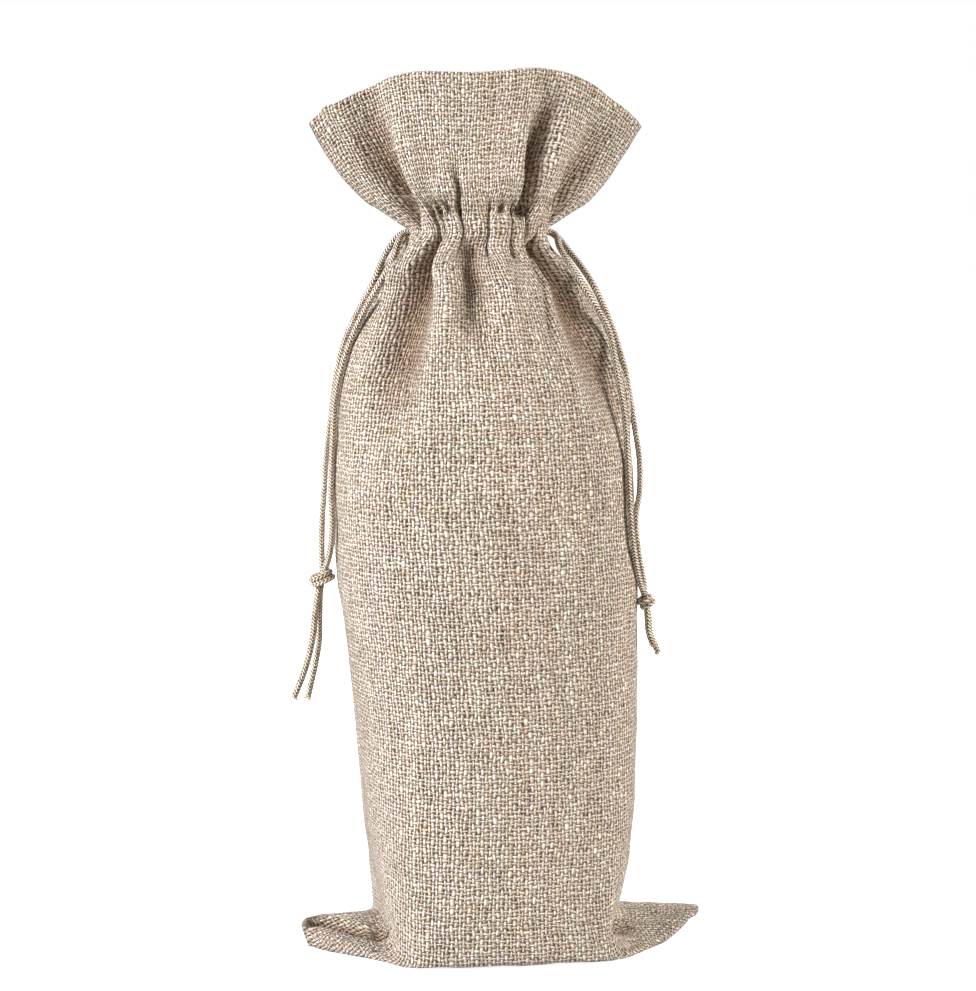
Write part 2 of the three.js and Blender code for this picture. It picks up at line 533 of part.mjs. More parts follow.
// A cord goes once round the channel from one side opening back to it, and each end hangs down to the
// knot.
function makeDrawstring({ side, ringZ, knot, strands, tails }) {
  const radius = (CHANNEL.inner + CHANNEL.outer) / 2;
  const exits = strands.map((_, i) => {
    const y = (i ? -1 : 1) * side * EXIT.apart;
    return [
      [NECK.x + side * (radius + EXIT.wall), y, ringZ],
      [NECK.x + side * (NECK.ridge + EXIT.clear), y, NECK.z - EXIT.drop],
    ];
  });
  const ring = [];
  for (let angle = EXIT.ringGap; angle <= 360 - EXIT.ringGap; angle += EXIT.ringGap / 2) {
    const turn = THREE.MathUtils.degToRad(angle) * side;
    ring.push([NECK.x + side * radius * Math.cos(turn), radius * Math.sin(turn), ringZ]);
  }
  const loop = [
    knot.at,
    ...strands[0].toReversed(),
    ...exits[0].toReversed(),
    ...ring,
    ...exits[1],
    ...strands[1],
    knot.at,
  ];
  let solid = makeCordTube(loop);
  const lump = new THREE.SphereGeometry(1, 12, 8).scale(...knot.halfSize).translate(...knot.at);
  solid = solid.add(toSolid(lump));
  for (const tail of tails) solid = solid.add(makeCordTube([knot.at, ...tail]));
  return solid;
}

const natural = new THREE.Color().setRGB(0.66, 0.56, 0.45, THREE.SRGBColorSpace);
const clothMaterial = new THREE.MeshStandardMaterial({ color: natural, roughness: 0.95, metalness: 0 });
const cordMaterial = new THREE.MeshStandardMaterial({
  color: new THREE.Color().setRGB(0.75, 0.67, 0.55, THREE.SRGBColorSpace),
  roughness: 0.85,
  metalness: 0,
});

const bag = new THREE.Group();
const cloth = new THREE.Mesh(toGeometry(toSolid(makeCloth()).subtract(makeChannel())), clothMaterial);
cloth.name = "bag_cloth";
bag.add(cloth);
for (const drawstring of DRAWSTRINGS) {
  const cord = new THREE.Mesh(toGeometry(makeDrawstring(drawstring)), cordMaterial);
  cord.name = drawstring.name;
  bag.add(cord);
}

export default bag;
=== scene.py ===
"""A drawstring wine tote of coarse plain-woven cloth, standing filled out as it does round a bottle.

Sizes are millimetres in the part's frame: +Z up, the front is -Y, the side seams are at -X and +X.
A place on the cloth is (around, up): how far it lies from the middle of the front towards +X, and
from the bottom fold.
"""

import math

import bmesh
import bpy
import numpy as np
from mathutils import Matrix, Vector, noise


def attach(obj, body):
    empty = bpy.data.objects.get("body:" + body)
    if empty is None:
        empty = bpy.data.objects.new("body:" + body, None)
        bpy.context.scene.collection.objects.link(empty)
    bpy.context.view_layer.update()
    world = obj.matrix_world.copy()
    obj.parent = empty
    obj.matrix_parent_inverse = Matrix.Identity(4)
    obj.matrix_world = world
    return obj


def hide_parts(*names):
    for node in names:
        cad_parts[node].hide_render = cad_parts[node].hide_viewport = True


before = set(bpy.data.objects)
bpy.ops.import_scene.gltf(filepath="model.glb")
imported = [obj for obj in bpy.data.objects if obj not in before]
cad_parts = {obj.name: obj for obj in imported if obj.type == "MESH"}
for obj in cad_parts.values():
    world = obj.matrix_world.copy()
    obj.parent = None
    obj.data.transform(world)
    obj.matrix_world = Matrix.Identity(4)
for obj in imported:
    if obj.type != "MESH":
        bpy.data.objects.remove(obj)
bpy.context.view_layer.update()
MM = 0.001


def add_object(name, data):
    made = bpy.data.objects.new(name, data)
    bpy.context.scene.collection.objects.link(made)
    return made


# ---------- camera

CAMERA_AT = (-161.1, -829.5, 244.8)
CAMERA_AZIMUTH = 10.7  # degrees to the right of straight ahead
CAMERA_DOWN = 6.25  # degrees below level
CAMERA_LENS = 91.2
CAMERA_SENSOR = 36  # on the longer side
CAMERA_CLIP = 50  # nothing nearer is seen


def add_camera():
    data = bpy.data.cameras.new("camera")
    data.lens = CAMERA_LENS
    data.sensor_width = CAMERA_SENSOR
    data.clip_start = CAMERA_CLIP * MM
    camera = add_object("camera", data)
    camera.location = Vector(CAMERA_AT) * MM
    camera.rotation_euler = (math.radians(90 - CAMERA_DOWN), 0, math.radians(-CAMERA_AZIMUTH))
    bpy.context.scene.camera = camera


# ---------- the cloth's form

GIRTH = 300  # round both faces of the flat bag
SINGLE = 1.6  # thickness of the cloth
DOUBLED = 2.6  # thickness from the casing up, where the cloth is turned in
CASING_UP = 288
RIM_UP = 337
NECK_X = -7.5
NECK_RIDGE = 24.2  # radius over the gathers at the casing
BORE = 14.1  # radius inside the gathers
VALLEY_DEPTH = 6.6  # between two gathers, from the ridge

# The section at each place up the cloth: how far its middle leans along X, its half widths, how square it is
# (1 is an ellipse, less is squarer), how pointed at the seams (1 is round), and how high its front and its
# seams lie.
LEVEL_COLUMNS = ("up", "lean", "half_x", "half_y", "square", "lens", "front", "side")
LEVELS = np.array([
    (0, 0, 69.5, 0, 0.4, 1, 0, 0),
    (1.2, 0, 69.4, 1.8, 0.4, 1, 0, 2.6),
    (4, 0, 68.2, 4.6, 0.4, 1, 0, 4.2),
    (9, 0, 64.8, 9.8, 0.3, 1, 0, 4.4),
    (16, 0, 59.4, 17, 0.3, 1, 0, 4.2),
    (23, 0, 53.6, 24.2, 0.3, 1, 0, 4.2),
    (30, -0.4, 48, 31.2, 0.3, 1, 0, 4.4),
    (36, -0.8, 44.2, 36.8, 0.3, 1, 0.2, 6),
    (41.5, -0.9, 41.4, 40.6, 0.4, 1, 1.4, 10),
    (49, -1.2, 41.2, 42, 0.52, 1, 8.1, 16.9),
    (58, -1.6, 42, 42.4, 0.62, 1, 16.7, 24.5),
    (71, -1.5, 43.8, 42.4, 0.7, 1, 29.9, 35.3),
    (89, -1.2, 46, 42.4, 0.76, 1, 48, 50.9),
    (113, -1.5, 47.4, 42.6, 0.83, 1, 72, 73),
    (142, -3, 49.1, 43, 0.88, 1, 101, 101),
    (170, -4.6, 51, 43.4, 0.92, 1, 129, 129),
    (193, -5.9, 51, 43.4, 0.93, 1, 152, 152),
    (213, -6.3, 49.9, 42.5, 0.94, 1, 172, 172),
    (232, -6.5, 47.9, 40.6, 0.95, 1, 190.8, 190.8),
    (245, -6.7, 44.7, 38.2, 0.97, 1, 203.1, 203.1),
    (256, -6.8, 41, 35.6, 0.98, 1, 213.1, 212.9),
    (266, -6.9, 37.2, 33, 1, 1, 222.2, 221.5),
    (275, -8.5, 32.1, 29.4, 1, 1, 230.1, 229.3),
    (282, -8.7, 27.1, 25.8, 1, 1, 235.9, 235.5),
    (288, -7.5, 24.2, 24.2, 1, 1, 241.5, 241.1),
    (293, -7.6, 28.4, 23.6, 1, 1.15, 246.5, 244.1),
    (298, -7.7, 33.8, 22.8, 1, 1.35, 251.5, 247.9),
    (305, -7.9, 40, 21.8, 1, 1.55, 258.5, 253.3),
    (314, -8.1, 46, 21.2, 1, 1.7, 267.6, 259.9),
    (325, -8.2, 51.4, 21.2, 1, 1.8, 278.9, 267.9),
    (337, -8.1, 56.2, 21.6, 1, 1.85, 290.9, 275.7),
], float)

RIM_WAVES = ((-67.3, 2.2, 1.1), (-32, 17, 1.6), (27, 22, 2.8))  # around, half width, rise

# The gathers, from the left seam round the front: the degrees that each takes round the neck, the cloth in
# it, and how far its ridge lies back.
PLEATS = np.array([
    (24, 18, 0.4), (20.5, 19, 0), (6.5, 8, 1.4), (14.5, 14, 0), (24, 20, 1.4),
    (17, 16, 0), (16, 14, 0.6), (15, 13, 0.4), (20.5, 14, 1), (22, 14, 1.3),
    (19, 15, 1.2), (16, 14, 0.4), (21, 16, 0.9), (14, 13, 0.3), (25, 19, 0.5),
    (17, 15, 0), (15, 14, 0.8), (20, 16, 0.2), (14, 13, 0.6), (19, 15, 0.3),
], float)

# Broad troughs out of the gathers: around at the casing, around and up at the end, half widths to the left
# and to the right, depth, and the share of the depth left at the end.
TROUGHS = (
    (-61, -66, 244, 4.5, 4, 4, 0),
    (-37, -43, 198, 11, 11, 11, 0),
    (-6, -6, 226, 11, 7, 6, 0),
    (45, 46, 204, 13, 11, 10, 0),
    (61, 63, 236, 4.5, 4.5, 4, 0),
    (96, 92, 222, 8, 8, 8, 0),
    (124, 121, 203, 9, 10, 10, 0),
    (150, 153, 230, 8, 8, 8, 0),
    (176, 173, 200, 10, 9, 10, 0),
    (204, 201, 224, 8, 9, 8, 0),
    (-51, -49, 337, 11, 6, 10, 0.35),
    (-15, -13, 318, 5, 4, 4, 0),
    (28, 27, 337, 5.5, 6.5, 9, 0.25),
    (54, 57, 337, 7, 8, 7, 0.2),
    (96, 94, 337, 9, 9, 7, 0.5),
    (124, 120, 337, 8, 8, 8, 0.4),
    (152, 152, 321, 7, 7, 6, 0),
    (178, 182, 337, 8, 11, 7, 0.5),
    (206, 208, 337, 11, 9, 6, 0.3),
)

# How each ear differs from an even base: its reach, its seam's height, its swell before and behind the seam.
EAR_COLUMNS = ("up", "reach", "seam", "front", "rear")
LEFT_EAR = np.array([
    (0, -5, 0, 0, 0),
    (1.2, -2.2, 1, 0, 0),
    (4, 0.6, 3, 0, 0),
    (9, 1.6, 4.6, 0.4, 0.4),
    (16, 1.2, 5.1, -0.3, 0.2),
    (23, 0.2, 5.1, -1, -0.5),
    (30, -0.4, 4.8, -1.5, -1.1),
    (36, -0.8, 3, -1.2, -1.2),
    (41.5, -1, -0.4, -0.4, -0.8),
    (49, -0.2, -1.2, 0, 0),
    (58, 0.2, 0, 0, 0),
    (71, 0.1, 0, 0, 0),
    (89, 0, 0, 0, 0),
], float)
RIGHT_EAR = np.array([
    (0, 0.4, 0, 0, 0),
    (1.2, 1.2, -0.6, 0, 0),
    (4, 1.6, -0.6, 0, 0),
    (9, 1.2, -0.2, 0.2, 0.3),
    (16, 0.8, 1.2, 0, 0.6),
    (23, 0, 2.8, -0.4, 0.8),
    (30, -0.4, 2.8, -0.8, 0.8),
    (36, -1.2, 1.2, -0.8, 0.4),
    (41.5, -3.4, 0, -0.3, 0),
    (49, -4.2, 0, 0, 0),
    (58, -1.6, 0, 0, 0),
    (71, 0, 0, 0, 0),
    (89, 0, 0, 0, 0),
], float)
TIP_LIFT = 3.3  # how far the tip of the right ear turns up
TIP_TURN = (50, 18)  # from where along X, and over how much

# How far from the casing the gathers and the bore reach, and over how much more they fade. Then over how
# much the bunching fades, and the broad troughs start.
PLEAT_REACH = (2, 12)
BORE_REACH = (4.5, 10)
BUNCH_FADE = {"above": 49, "below": 75}
TROUGH_START = {"above": 14, "below": 9}

CREST = 0.75  # the share of a pleat's cloth that makes its crest, the rest being its walls
VALLEY_POWER = 1.5  # more makes the valleys narrower
TROUGH_POWER = 2.6  # more makes the troughs' floors flatter
TROUGH_FADE_POWER = 1.6  # more keeps their depth for longer
TROUGH_NARROW = 0.5  # a trough's width at the casing against its full width
TROUGH_WIDENS = 34  # how far from the casing it is full
EAR_TOP = (36, 12)  # where the ears end, and over how much
INNER_LEAST = 0.25  # the inner skin's half depth against the outer one's, at the least
INNER_RISE = 5  # the height over which the inner skin's lift off the bottom fold fades
INNER_SEAM = {"slope": 0.1, "to": 8}  # how it climbs in the ears, at the least, from the fold to the seam
SKEW = 0.05  # how far the base is turned: y against x
SKEW_START = (0, 20)  # from where, and over how much
SKEW_END = (50, 60)
SECTION_STEPS = 720
SHOULDER_UP = 228  # above it, the height changes all the way from the front to the seam
NEARBY = 0.004  # of a turn, to either side, for the direction of the section


def clamp01(x):
    return np.clip(x, 0, 1)


def ease(x):
    x = clamp01(x)
    return x * x * (3 - 2 * x)


def eased_from(start, over, x):
    """0 up to the start, easing to 1 over the next stretch."""
    return ease((x - start) / over)


def mix(a, b, share):
    return a + (b - a) * share


def running(steps):
    """Where each step starts, and where the last one ends."""
    return np.concatenate([[0], np.cumsum(steps)])


def lengths(vectors):
    return np.linalg.norm(vectors, axis=-1, keepdims=True)


def row_at(table, columns, up):
    """A table's row at any place up the cloth, on a smooth curve that never overshoots."""
    heights = table[:, 0]
    i = int(min(np.searchsorted(heights, up, side="right") - 1, len(table) - 2))
    slopes = np.diff(table, axis=0) / np.diff(heights)[:, None]

    def tangent(k):
        before = slopes[max(0, k - 1)]
        after = slopes[min(len(slopes) - 1, k)]
        flat = before * after <= 0
        return np.where(flat, 0, 2 * before * after / np.where(flat, 1, before + after))

    span = heights[i + 1] - heights[i]
    u = float(clamp01((up - heights[i]) / span))
    row = (
        table[i] * (1 + 2 * u) * (1 - u) ** 2
        + tangent(i) * span * u * (1 - u) ** 2
        + table[i + 1] * u * u * (3 - 2 * u)
        + tangent(i + 1) * span * u * u * (u - 1)
    )
    return dict(zip(columns, (float(x) for x in row)))


def level_at(up):
    return row_at(LEVELS, LEVEL_COLUMNS, up)


PLEAT_AROUND = -GIRTH / 4 + running(PLEATS[:, 1])
PLEAT_TURN = -0.25 + running(PLEATS[:, 0]) / 360


def near_casing(up, whole, fade):
    return 1 - eased_from(whole, fade, np.abs(up - CASING_UP))


def side_of_casing(up):
    return "above" if up > CASING_UP else "below"


def pleat_weight(up):
    return near_casing(up, *PLEAT_REACH)


def bore_weight(up):
    return near_casing(up, *BORE_REACH)


def bunch_weight(up):
    return near_casing(up, 0, BUNCH_FADE[side_of_casing(up)])


def trough_weight(up):
    return 1 - near_casing(up, 0, TROUGH_START[side_of_casing(up)])


def short_way(around, start):
    """How far a place lies round the bag from another, the short way."""
    return np.mod(around - start + GIRTH / 2, GIRTH) - GIRTH / 2


def pleat_at(around):
    """Where a place lies in its pleat, from -1 to 1, its inset, and its width and start in turns."""
    wrapped = np.mod(around + GIRTH / 4, GIRTH) - GIRTH / 4
    index = np.clip(np.searchsorted(PLEAT_AROUND, wrapped + 1e-9, side="right") - 1, 0, len(PLEATS) - 1)
    across = 2 * (wrapped - PLEAT_AROUND[index]) / PLEATS[index, 1] - 1
    turns = (around - wrapped) / GIRTH
    return across, PLEATS[index, 2], PLEATS[index, 0] / 360, PLEAT_TURN[index] + turns


def turn_at(around, up):
    """How far round the section a place on the cloth lies, in turns from the middle of the front."""
    across, _, width, turn = pleat_at(around)
    gathered = turn + width * (0.5 + across / 2)
    wall = np.sin(clamp01(np.abs(across) / CREST) * math.pi / 2) * np.sign(across)
    folded = turn + width * (0.5 + wall / 2)
    return mix(around / GIRTH, mix(gathered, folded, pleat_weight(up)), bunch_weight(up))


def fold_depth(around, up):
    """How far the gathers and the broad troughs draw the cloth in."""
    across, inset, _, _ = pleat_at(around)
    valley = 1 - np.cos(math.pi / 2 * np.abs(across) ** VALLEY_POWER)
    casing = mix(inset, VALLEY_DEPTH, valley) * pleat_weight(up)
    broad = 0
    for start, end, end_up, to_left, to_right, depth, left in TROUGHS:
        along = (up - CASING_UP) / (end_up - CASING_UP)
        if along < 0:
            continue
        off = short_way(around, mix(start, end, min(along, 1)))
        spread = mix(TROUGH_NARROW, 1, ease(abs(up - CASING_UP) / TROUGH_WIDENS))
        half = spread * np.where(off < 0, to_left, to_right)
        profile = np.exp(-((np.abs(off) / half) ** TROUGH_POWER))
        broad = broad + depth * mix(1, left, ease(along**TROUGH_FADE_POWER)) * profile
    return casing + broad * trough_weight(up)


def signed_power(x, power):
    return np.sign(x) * np.abs(x) ** power


def section_at(up, inner):
    """The section at a place up the cloth: its level, its outline's x and y, and how far round each lies.

    The outline runs once round from the middle of the front, and each quarter is even along its length.
    """
    level = level_at(up)
    ears = [row_at(table, EAR_COLUMNS, up) for table in (LEFT_EAR, RIGHT_EAR)]
    seams = [level["side"] + ear["seam"] for ear in ears]
    if inner:
        thick = DOUBLED if up > CASING_UP else SINGLE
        bore = bore_weight(up)
        level["half_x"] = mix(level["half_x"] - thick, BORE, bore)
        level["half_y"] = mix(max(level["half_y"] - thick, level["half_y"] * INNER_LEAST), BORE, bore)
        level["lens"] = mix(level["lens"], 1, bore)
        in_ear = 1 - eased_from(*EAR_TOP, up)
        level["front"] += thick * math.exp(-level["front"] / INNER_RISE)
        seams = [seam - thick * in_ear for seam in seams]
        if in_ear > 0:
            lowest = level["front"] + INNER_SEAM["slope"] * min(up, INNER_SEAM["to"])
            seams = [max(seam, lowest) for seam in seams]
    level["seams"] = seams
    level["swells"] = [(ear["front"], ear["rear"]) for ear in ears]
    level["reaches"] = [level["half_x"] + ear["reach"] for ear in ears]
    skew = SKEW * eased_from(*SKEW_START, up) * (1 - eased_from(*SKEW_END, up))
    turn = np.linspace(0, 2 * math.pi, SECTION_STEPS + 1)
    half_x = np.where(turn < math.pi, level["reaches"][1], level["reaches"][0])
    x = level["lean"] + half_x * signed_power(np.sin(turn), level["square"])
    y = -level["half_y"] * signed_power(np.cos(turn), level["square"] * level["lens"]) - skew * x
    steps = np.hypot(np.diff(x), np.diff(y)).reshape(4, -1)
    run = np.cumsum(steps, axis=1) / steps.sum(axis=1, keepdims=True)
    run = np.concatenate([[0], (run + np.arange(4)[:, None]).ravel() / 4])
    return level, x, y, run


def on_section(section, turn):
    _, x, y, run = section
    place = np.mod(turn, 1)
    return np.interp(place, run, x), np.interp(place, run, y)


def height_at(level, turn):
    """The height at a place round the section, which changes from the front to the side seam."""
    place = np.mod(turn, 1)
    right = place < 0.5
    rear = np.abs(place - 0.5) < 0.25
    to_side = 1 - np.abs(1 - np.mod(4 * place, 2))
    half_x = np.where(right, level["reaches"][1], level["reaches"][0])
    corner = half_x / (half_x + level["half_y"])
    past = clamp01((to_side - corner) / np.maximum(1 - corner, 1e-6))
    lift = to_side**3 if level["up"] > SHOULDER_UP else np.sin(math.pi / 2 * past)
    seam = np.where(right, level["seams"][1], level["seams"][0])
    left_swell, right_swell = (np.where(rear, behind, before) for before, behind in level["swells"])
    swell = np.where(right, right_swell, left_swell)
    return mix(level["front"], seam, lift) + swell * np.sin(math.pi * past) ** 2


def cloth_row(around, up, inner):
    """The points of one row of the cloth."""
    section = section_at(up, inner)
    turn = turn_at(around, up)
    x, y = on_section(section, turn)
    x0, y0 = on_section(section, turn - NEARBY)
    x1, y1 = on_section(section, turn + NEARBY)
    length = np.maximum(np.hypot(x1 - x0, y1 - y0), 1e-9)
    push = fold_depth(around, up) * (1 - bore_weight(up) if inner else 1)
    share = ease((up - CASING_UP) / (RIM_UP - CASING_UP))
    lift = sum(rise * np.exp(-(((around - centre) / half) ** 2)) for centre, half, rise in RIM_WAVES)
    tip = TIP_LIFT * eased_from(*TIP_TURN, x)
    z = height_at(section[0], turn) + share * lift + tip
    return np.stack([x - push * (y1 - y0) / length, y + push * (x1 - x0) / length, z], axis=-1)


PLEAT_COLUMNS = 16
COLUMNS = len(PLEATS) * PLEAT_COLUMNS
COLUMNS_TURN = (60, 120)  # how high up the mesh's columns start to follow the pleats, and over how much
CORNER_LIMIT = 0.9  # how far from the middle towards the seam the columns' corner may lie


def columns_around(up):
    """Where the mesh's columns run: evenly between the base's corners at the bottom, by pleat further up."""
    column = np.arange(COLUMNS)
    pleat = column // PLEAT_COLUMNS
    pleated = PLEAT_AROUND[pleat] + (column % PLEAT_COLUMNS) / PLEAT_COLUMNS * PLEATS[pleat, 1]
    level = level_at(up)
    even = 2 * column / COLUMNS
    to_side = np.abs(2 * (even % 1) - 1)
    corner = min(level["half_x"] / (level["half_x"] + level["half_y"]), CORNER_LIMIT)
    moved = np.where(to_side < 0.5, 2 * corner * to_side, mix(corner, 1, 2 * to_side - 1))
    middle = np.where(even < 1, 0, GIRTH / 2)
    cornered = middle + np.sign(2 * (even % 1) - 1) * moved * GIRTH / 4
    return mix(cornered, pleated, eased_from(*COLUMNS_TURN, up))


# ---------- creases in the cloth

# Each crease: its places on the cloth, its half width, its depth, which is negative for a ridge, and the
# share of its length over which it fades in at each end.
CREASES = [
    (((35, 287), (30, 270), (25, 256), (21, 240)), 2.2, 1.6, 0.3),
    (((-10, 284), (-9, 266), (-10, 250)), 2.5, 0.8, 0.4),
    (((-24, 286), (-20, 266), (-18, 240)), 6, -1.8, 0.35),
    (((12, 286), (8, 262), (4, 235)), 6, -1.8, 0.35),
    (((-50, 290), (-56, 278), (-60, 262)), 4, -1.8, 0.35),
    (((57, 258), (58, 236), (64, 212)), 5, -2.0, 0.35),
    (((39, 297), (37.5, 314), (38, 332)), 4, -2.6, 0.4),
    (((20, 295), (19, 312), (17, 326)), 3, -1.4, 0.4),
    (((-40, 296), (-38, 316), (-36, 334)), 5, -1.5, 0.4),
    # the left ear: the roll along its front edge, and the crease behind it
    (((-69, 8), (-65, 13), (-61, 18), (-57, 23), (-53, 29), (-50, 35)), 3.6, -2.0, 0.3),
    (
        ((-73.5, 7), (-72, 13), (-70, 18), (-67.5, 22), (-65, 26), (-62.5, 31), (-61, 37), (-60, 44)),
        2.0, 4.6, 0.12,
    ),
    # the right ear
    (((38, 51), (46, 47), (56, 41), (66, 36)), 3.2, 4.0, 0.3),
]

# Short dents and swellings: around, up, half width, half height, depth.
DENTS = [
    (-23, 295.5, 4, 2.2, 3.8),
    (12, 295.5, 4.5, 2.4, 4.2),
    (-23, 302, 7, 4, -2.2),
    (12, 303, 7, 4, -2.4),
    (-34, 295.5, 3, 2, 2),
    (-6, 294.5, 7, 1.8, 1.2),
    (27, 294.5, 4, 2, 2.5),
    (-67, 281, 3, 4, 2.0),
    (-62.5, 36, 5, 4, 3.2),
]

# Hand-worked cloth never lies quite even: it has two sizes of swelling.
SWELLS = [
    {"size": (13, 13, 22), "height": 0.55, "shift": (0, 0, 0)},
    {"size": (5, 5, 7), "height": 0.22, "shift": (40, 0, 0)},
]


def run_along(path):
    """How far along a path each of its points lies."""
    return running(np.linalg.norm(np.diff(path, axis=0), axis=1))


def crease_depth(around, up):
    """How far the creases and the dents draw the cloth in."""
    total = np.zeros_like(around)
    for path, width, depth, fade in CREASES:
        path = np.array(path, float)
        before = run_along(path)
        nearest = np.full(around.shape, np.inf)
        along = np.zeros_like(around)
        for k, step in enumerate(np.diff(path, axis=0)):
            beside = short_way(around, path[k, 0])
            above = up - path[k, 1]
            length = before[k + 1] - before[k]
            share = clamp01((beside * step[0] + above * step[1]) / length**2)
            off = np.hypot(beside - share * step[0], above - share * step[1])
            closer = off < nearest
            nearest = np.where(closer, off, nearest)
            along = np.where(closer, (before[k] + share * length) / before[-1], along)
        strength = ease(along / fade) * ease((1 - along) / fade)
        total += depth * strength * np.exp(-((nearest / width) ** 2))
    for centre, centre_up, half_width, half_height, depth in DENTS:
        off = short_way(around, centre)
        total += depth * np.exp(-((off / half_width) ** 2) - ((up - centre_up) / half_height) ** 2)
    return total


def unevenness(around, up):
    """How far the swellings stand out, with no jump anywhere round the bag."""
    angle = around * 2 * math.pi / GIRTH
    radius = GIRTH / (2 * math.pi)
    places = np.stack([radius * np.cos(angle), radius * np.sin(angle), up], axis=-1).reshape(-1, 3)
    total = 0
    for swell in SWELLS:
        moved = (Vector(place) + Vector(swell["shift"]) for place in places / swell["size"])
        total += swell["height"] * np.array([noise.noise(place) for place in moved])
    return total.reshape(around.shape)


# ---------- the cloth's mesh


def rows_between(*stops):
    """Rows from stop to stop, each given as (up, step to the next)."""
    ups = []
    for (start, step), (end, _) in zip(stops[:-1], stops[1:]):
        count = max(1, round((end - start) / step))
        ups += [start + (end - start) * k / count for k in range(count)]
    return ups + [stops[-1][0]]


OUTER_ROWS = rows_between((0, 1.2), (6, 2), (60, 2.6), (250, 1.4), (276, 0.75), (301, 1.5), (RIM_UP, 0))
INNER_ROWS = rows_between((0, 3), (60, 8), (250, 4), (276, 2), (301, 4), (RIM_UP, 0))[::-1]  # from the rim
CREASES_START = 12  # creases and swellings fade in over this from the bottom fold
INNER_FLOOR = 0.6  # the lowest that the inner skin lies
# The next two set the painted shade in the hollows: the depth at which it is full, and its share on the
# inner skin.
FULL_SHADE_DEPTH = 10  # what counts as a whole hollow, where the cloth is brownest
INNER_SHADE_SHARE = 0.5  # the share of that on the inner skin


def grid_normals(points):
    """Unit normals of rows that close round on themselves, facing out of the bag on the outer skin."""
    across = np.roll(points, -1, axis=1) - np.roll(points, 1, axis=1)
    upward = np.gradient(points, axis=0)
    normal = np.cross(across, upward)
    return normal / np.maximum(lengths(normal), 1e-9)


def make_skin(rows, inner):
    """Each point's place on the cloth (around, up), where it lies, and how much painted shade it gets for
    lying in a hollow.
    """
    around = np.array([columns_around(up) for up in rows])
    up = np.repeat(np.array(rows, float)[:, None], COLUMNS, axis=1)
    points = np.array([cloth_row(a, u, inner) for a, u in zip(around, rows)])
    normals = grid_normals(points) * (-1 if inner else 1)
    depth = crease_depth(around, up) - unevenness(around, up)
    strength = ease(up / CREASES_START)
    if inner:
        strength = strength * (1 - np.array([bore_weight(u) for u in rows]))[:, None]
    points = points - normals * (depth * strength)[..., None]
    points[..., 2] = np.maximum(points[..., 2], INNER_FLOOR if inner else 0)
    folds = np.array([fold_depth(a, u) for a, u in zip(around, rows)])
    # Painted shade: the deeper a point lies in a fold or a crease, the more its colour is darkened.
    painted_shade = clamp01((folds + depth + np.maximum(depth, 0)) / FULL_SHADE_DEPTH) * (INNER_SHADE_SHARE if inner else 1)
    return around, up, points, painted_shade


# The columns of the front, from seam to seam, and then those of the back, up to the first one again.
HALVES = np.concatenate([np.arange(COLUMNS // 2 + 1), np.arange(COLUMNS // 2, COLUMNS + 1)])

TRUE_WIDTHS = (44, 24)  # how far up the weave keeps to true lengths across, and over how much that fades
TRUE_CLIMB_TO = 60  # how far up it keeps to true lengths along the warp


def yarn_places(around, up, points):
    """Where the weave lies on the outer skin: by true lengths in the ears, and by place above them."""
    half = COLUMNS // 2
    across = []
    for first, middle in ((0, 0), (half, GIRTH / 2)):
        columns = np.arange(first, first + half + 1) % COLUMNS
        steps = np.linalg.norm(np.diff(points[:, columns], axis=1), axis=-1)
        run = np.concatenate([np.zeros((len(points), 1)), np.cumsum(steps, axis=1)], axis=1)
        true = middle + run - run[:, half // 2:half // 2 + 1]
        nominal = around[:, columns]
        nominal = np.where(nominal < middle - GIRTH / 2, nominal + GIRTH, nominal)
        if first:
            nominal[:, -1] = GIRTH * 3 / 4
        share = 1 - eased_from(*TRUE_WIDTHS, up[:, columns])
        across.append(mix(nominal, true, share))
    steps = np.linalg.norm(np.diff(points, axis=0), axis=-1)
    stretch = np.where(up[1:] < TRUE_CLIMB_TO, steps, np.diff(up, axis=0))
    below_rim = np.concatenate([np.cumsum(stretch[::-1], axis=0)[::-1], np.zeros((1, COLUMNS))])
    height = up[-1] - below_rim
    return np.concatenate(across, axis=1), height[:, HALVES % COLUMNS]


RIM_ANGLES = (30, 60, 90, 120, 150)
RIM_CLIMB = 0.02  # how far the weave runs on over the top edge for each degree


def rim_rows(outer, inner):
    """The rows of the top edge, which is a fold: half a turn from the outer skin to the inner one."""
    middle = (outer[-1] + inner[0]) / 2
    half = (outer[-1] - inner[0]) / 2
    rise = outer[-1] - outer[-2]
    rise /= lengths(rise)
    radius = lengths(half)
    turns = [math.radians(angle) for angle in RIM_ANGLES]
    return np.array([middle + half * math.cos(turn) + rise * radius * math.sin(turn) for turn in turns])


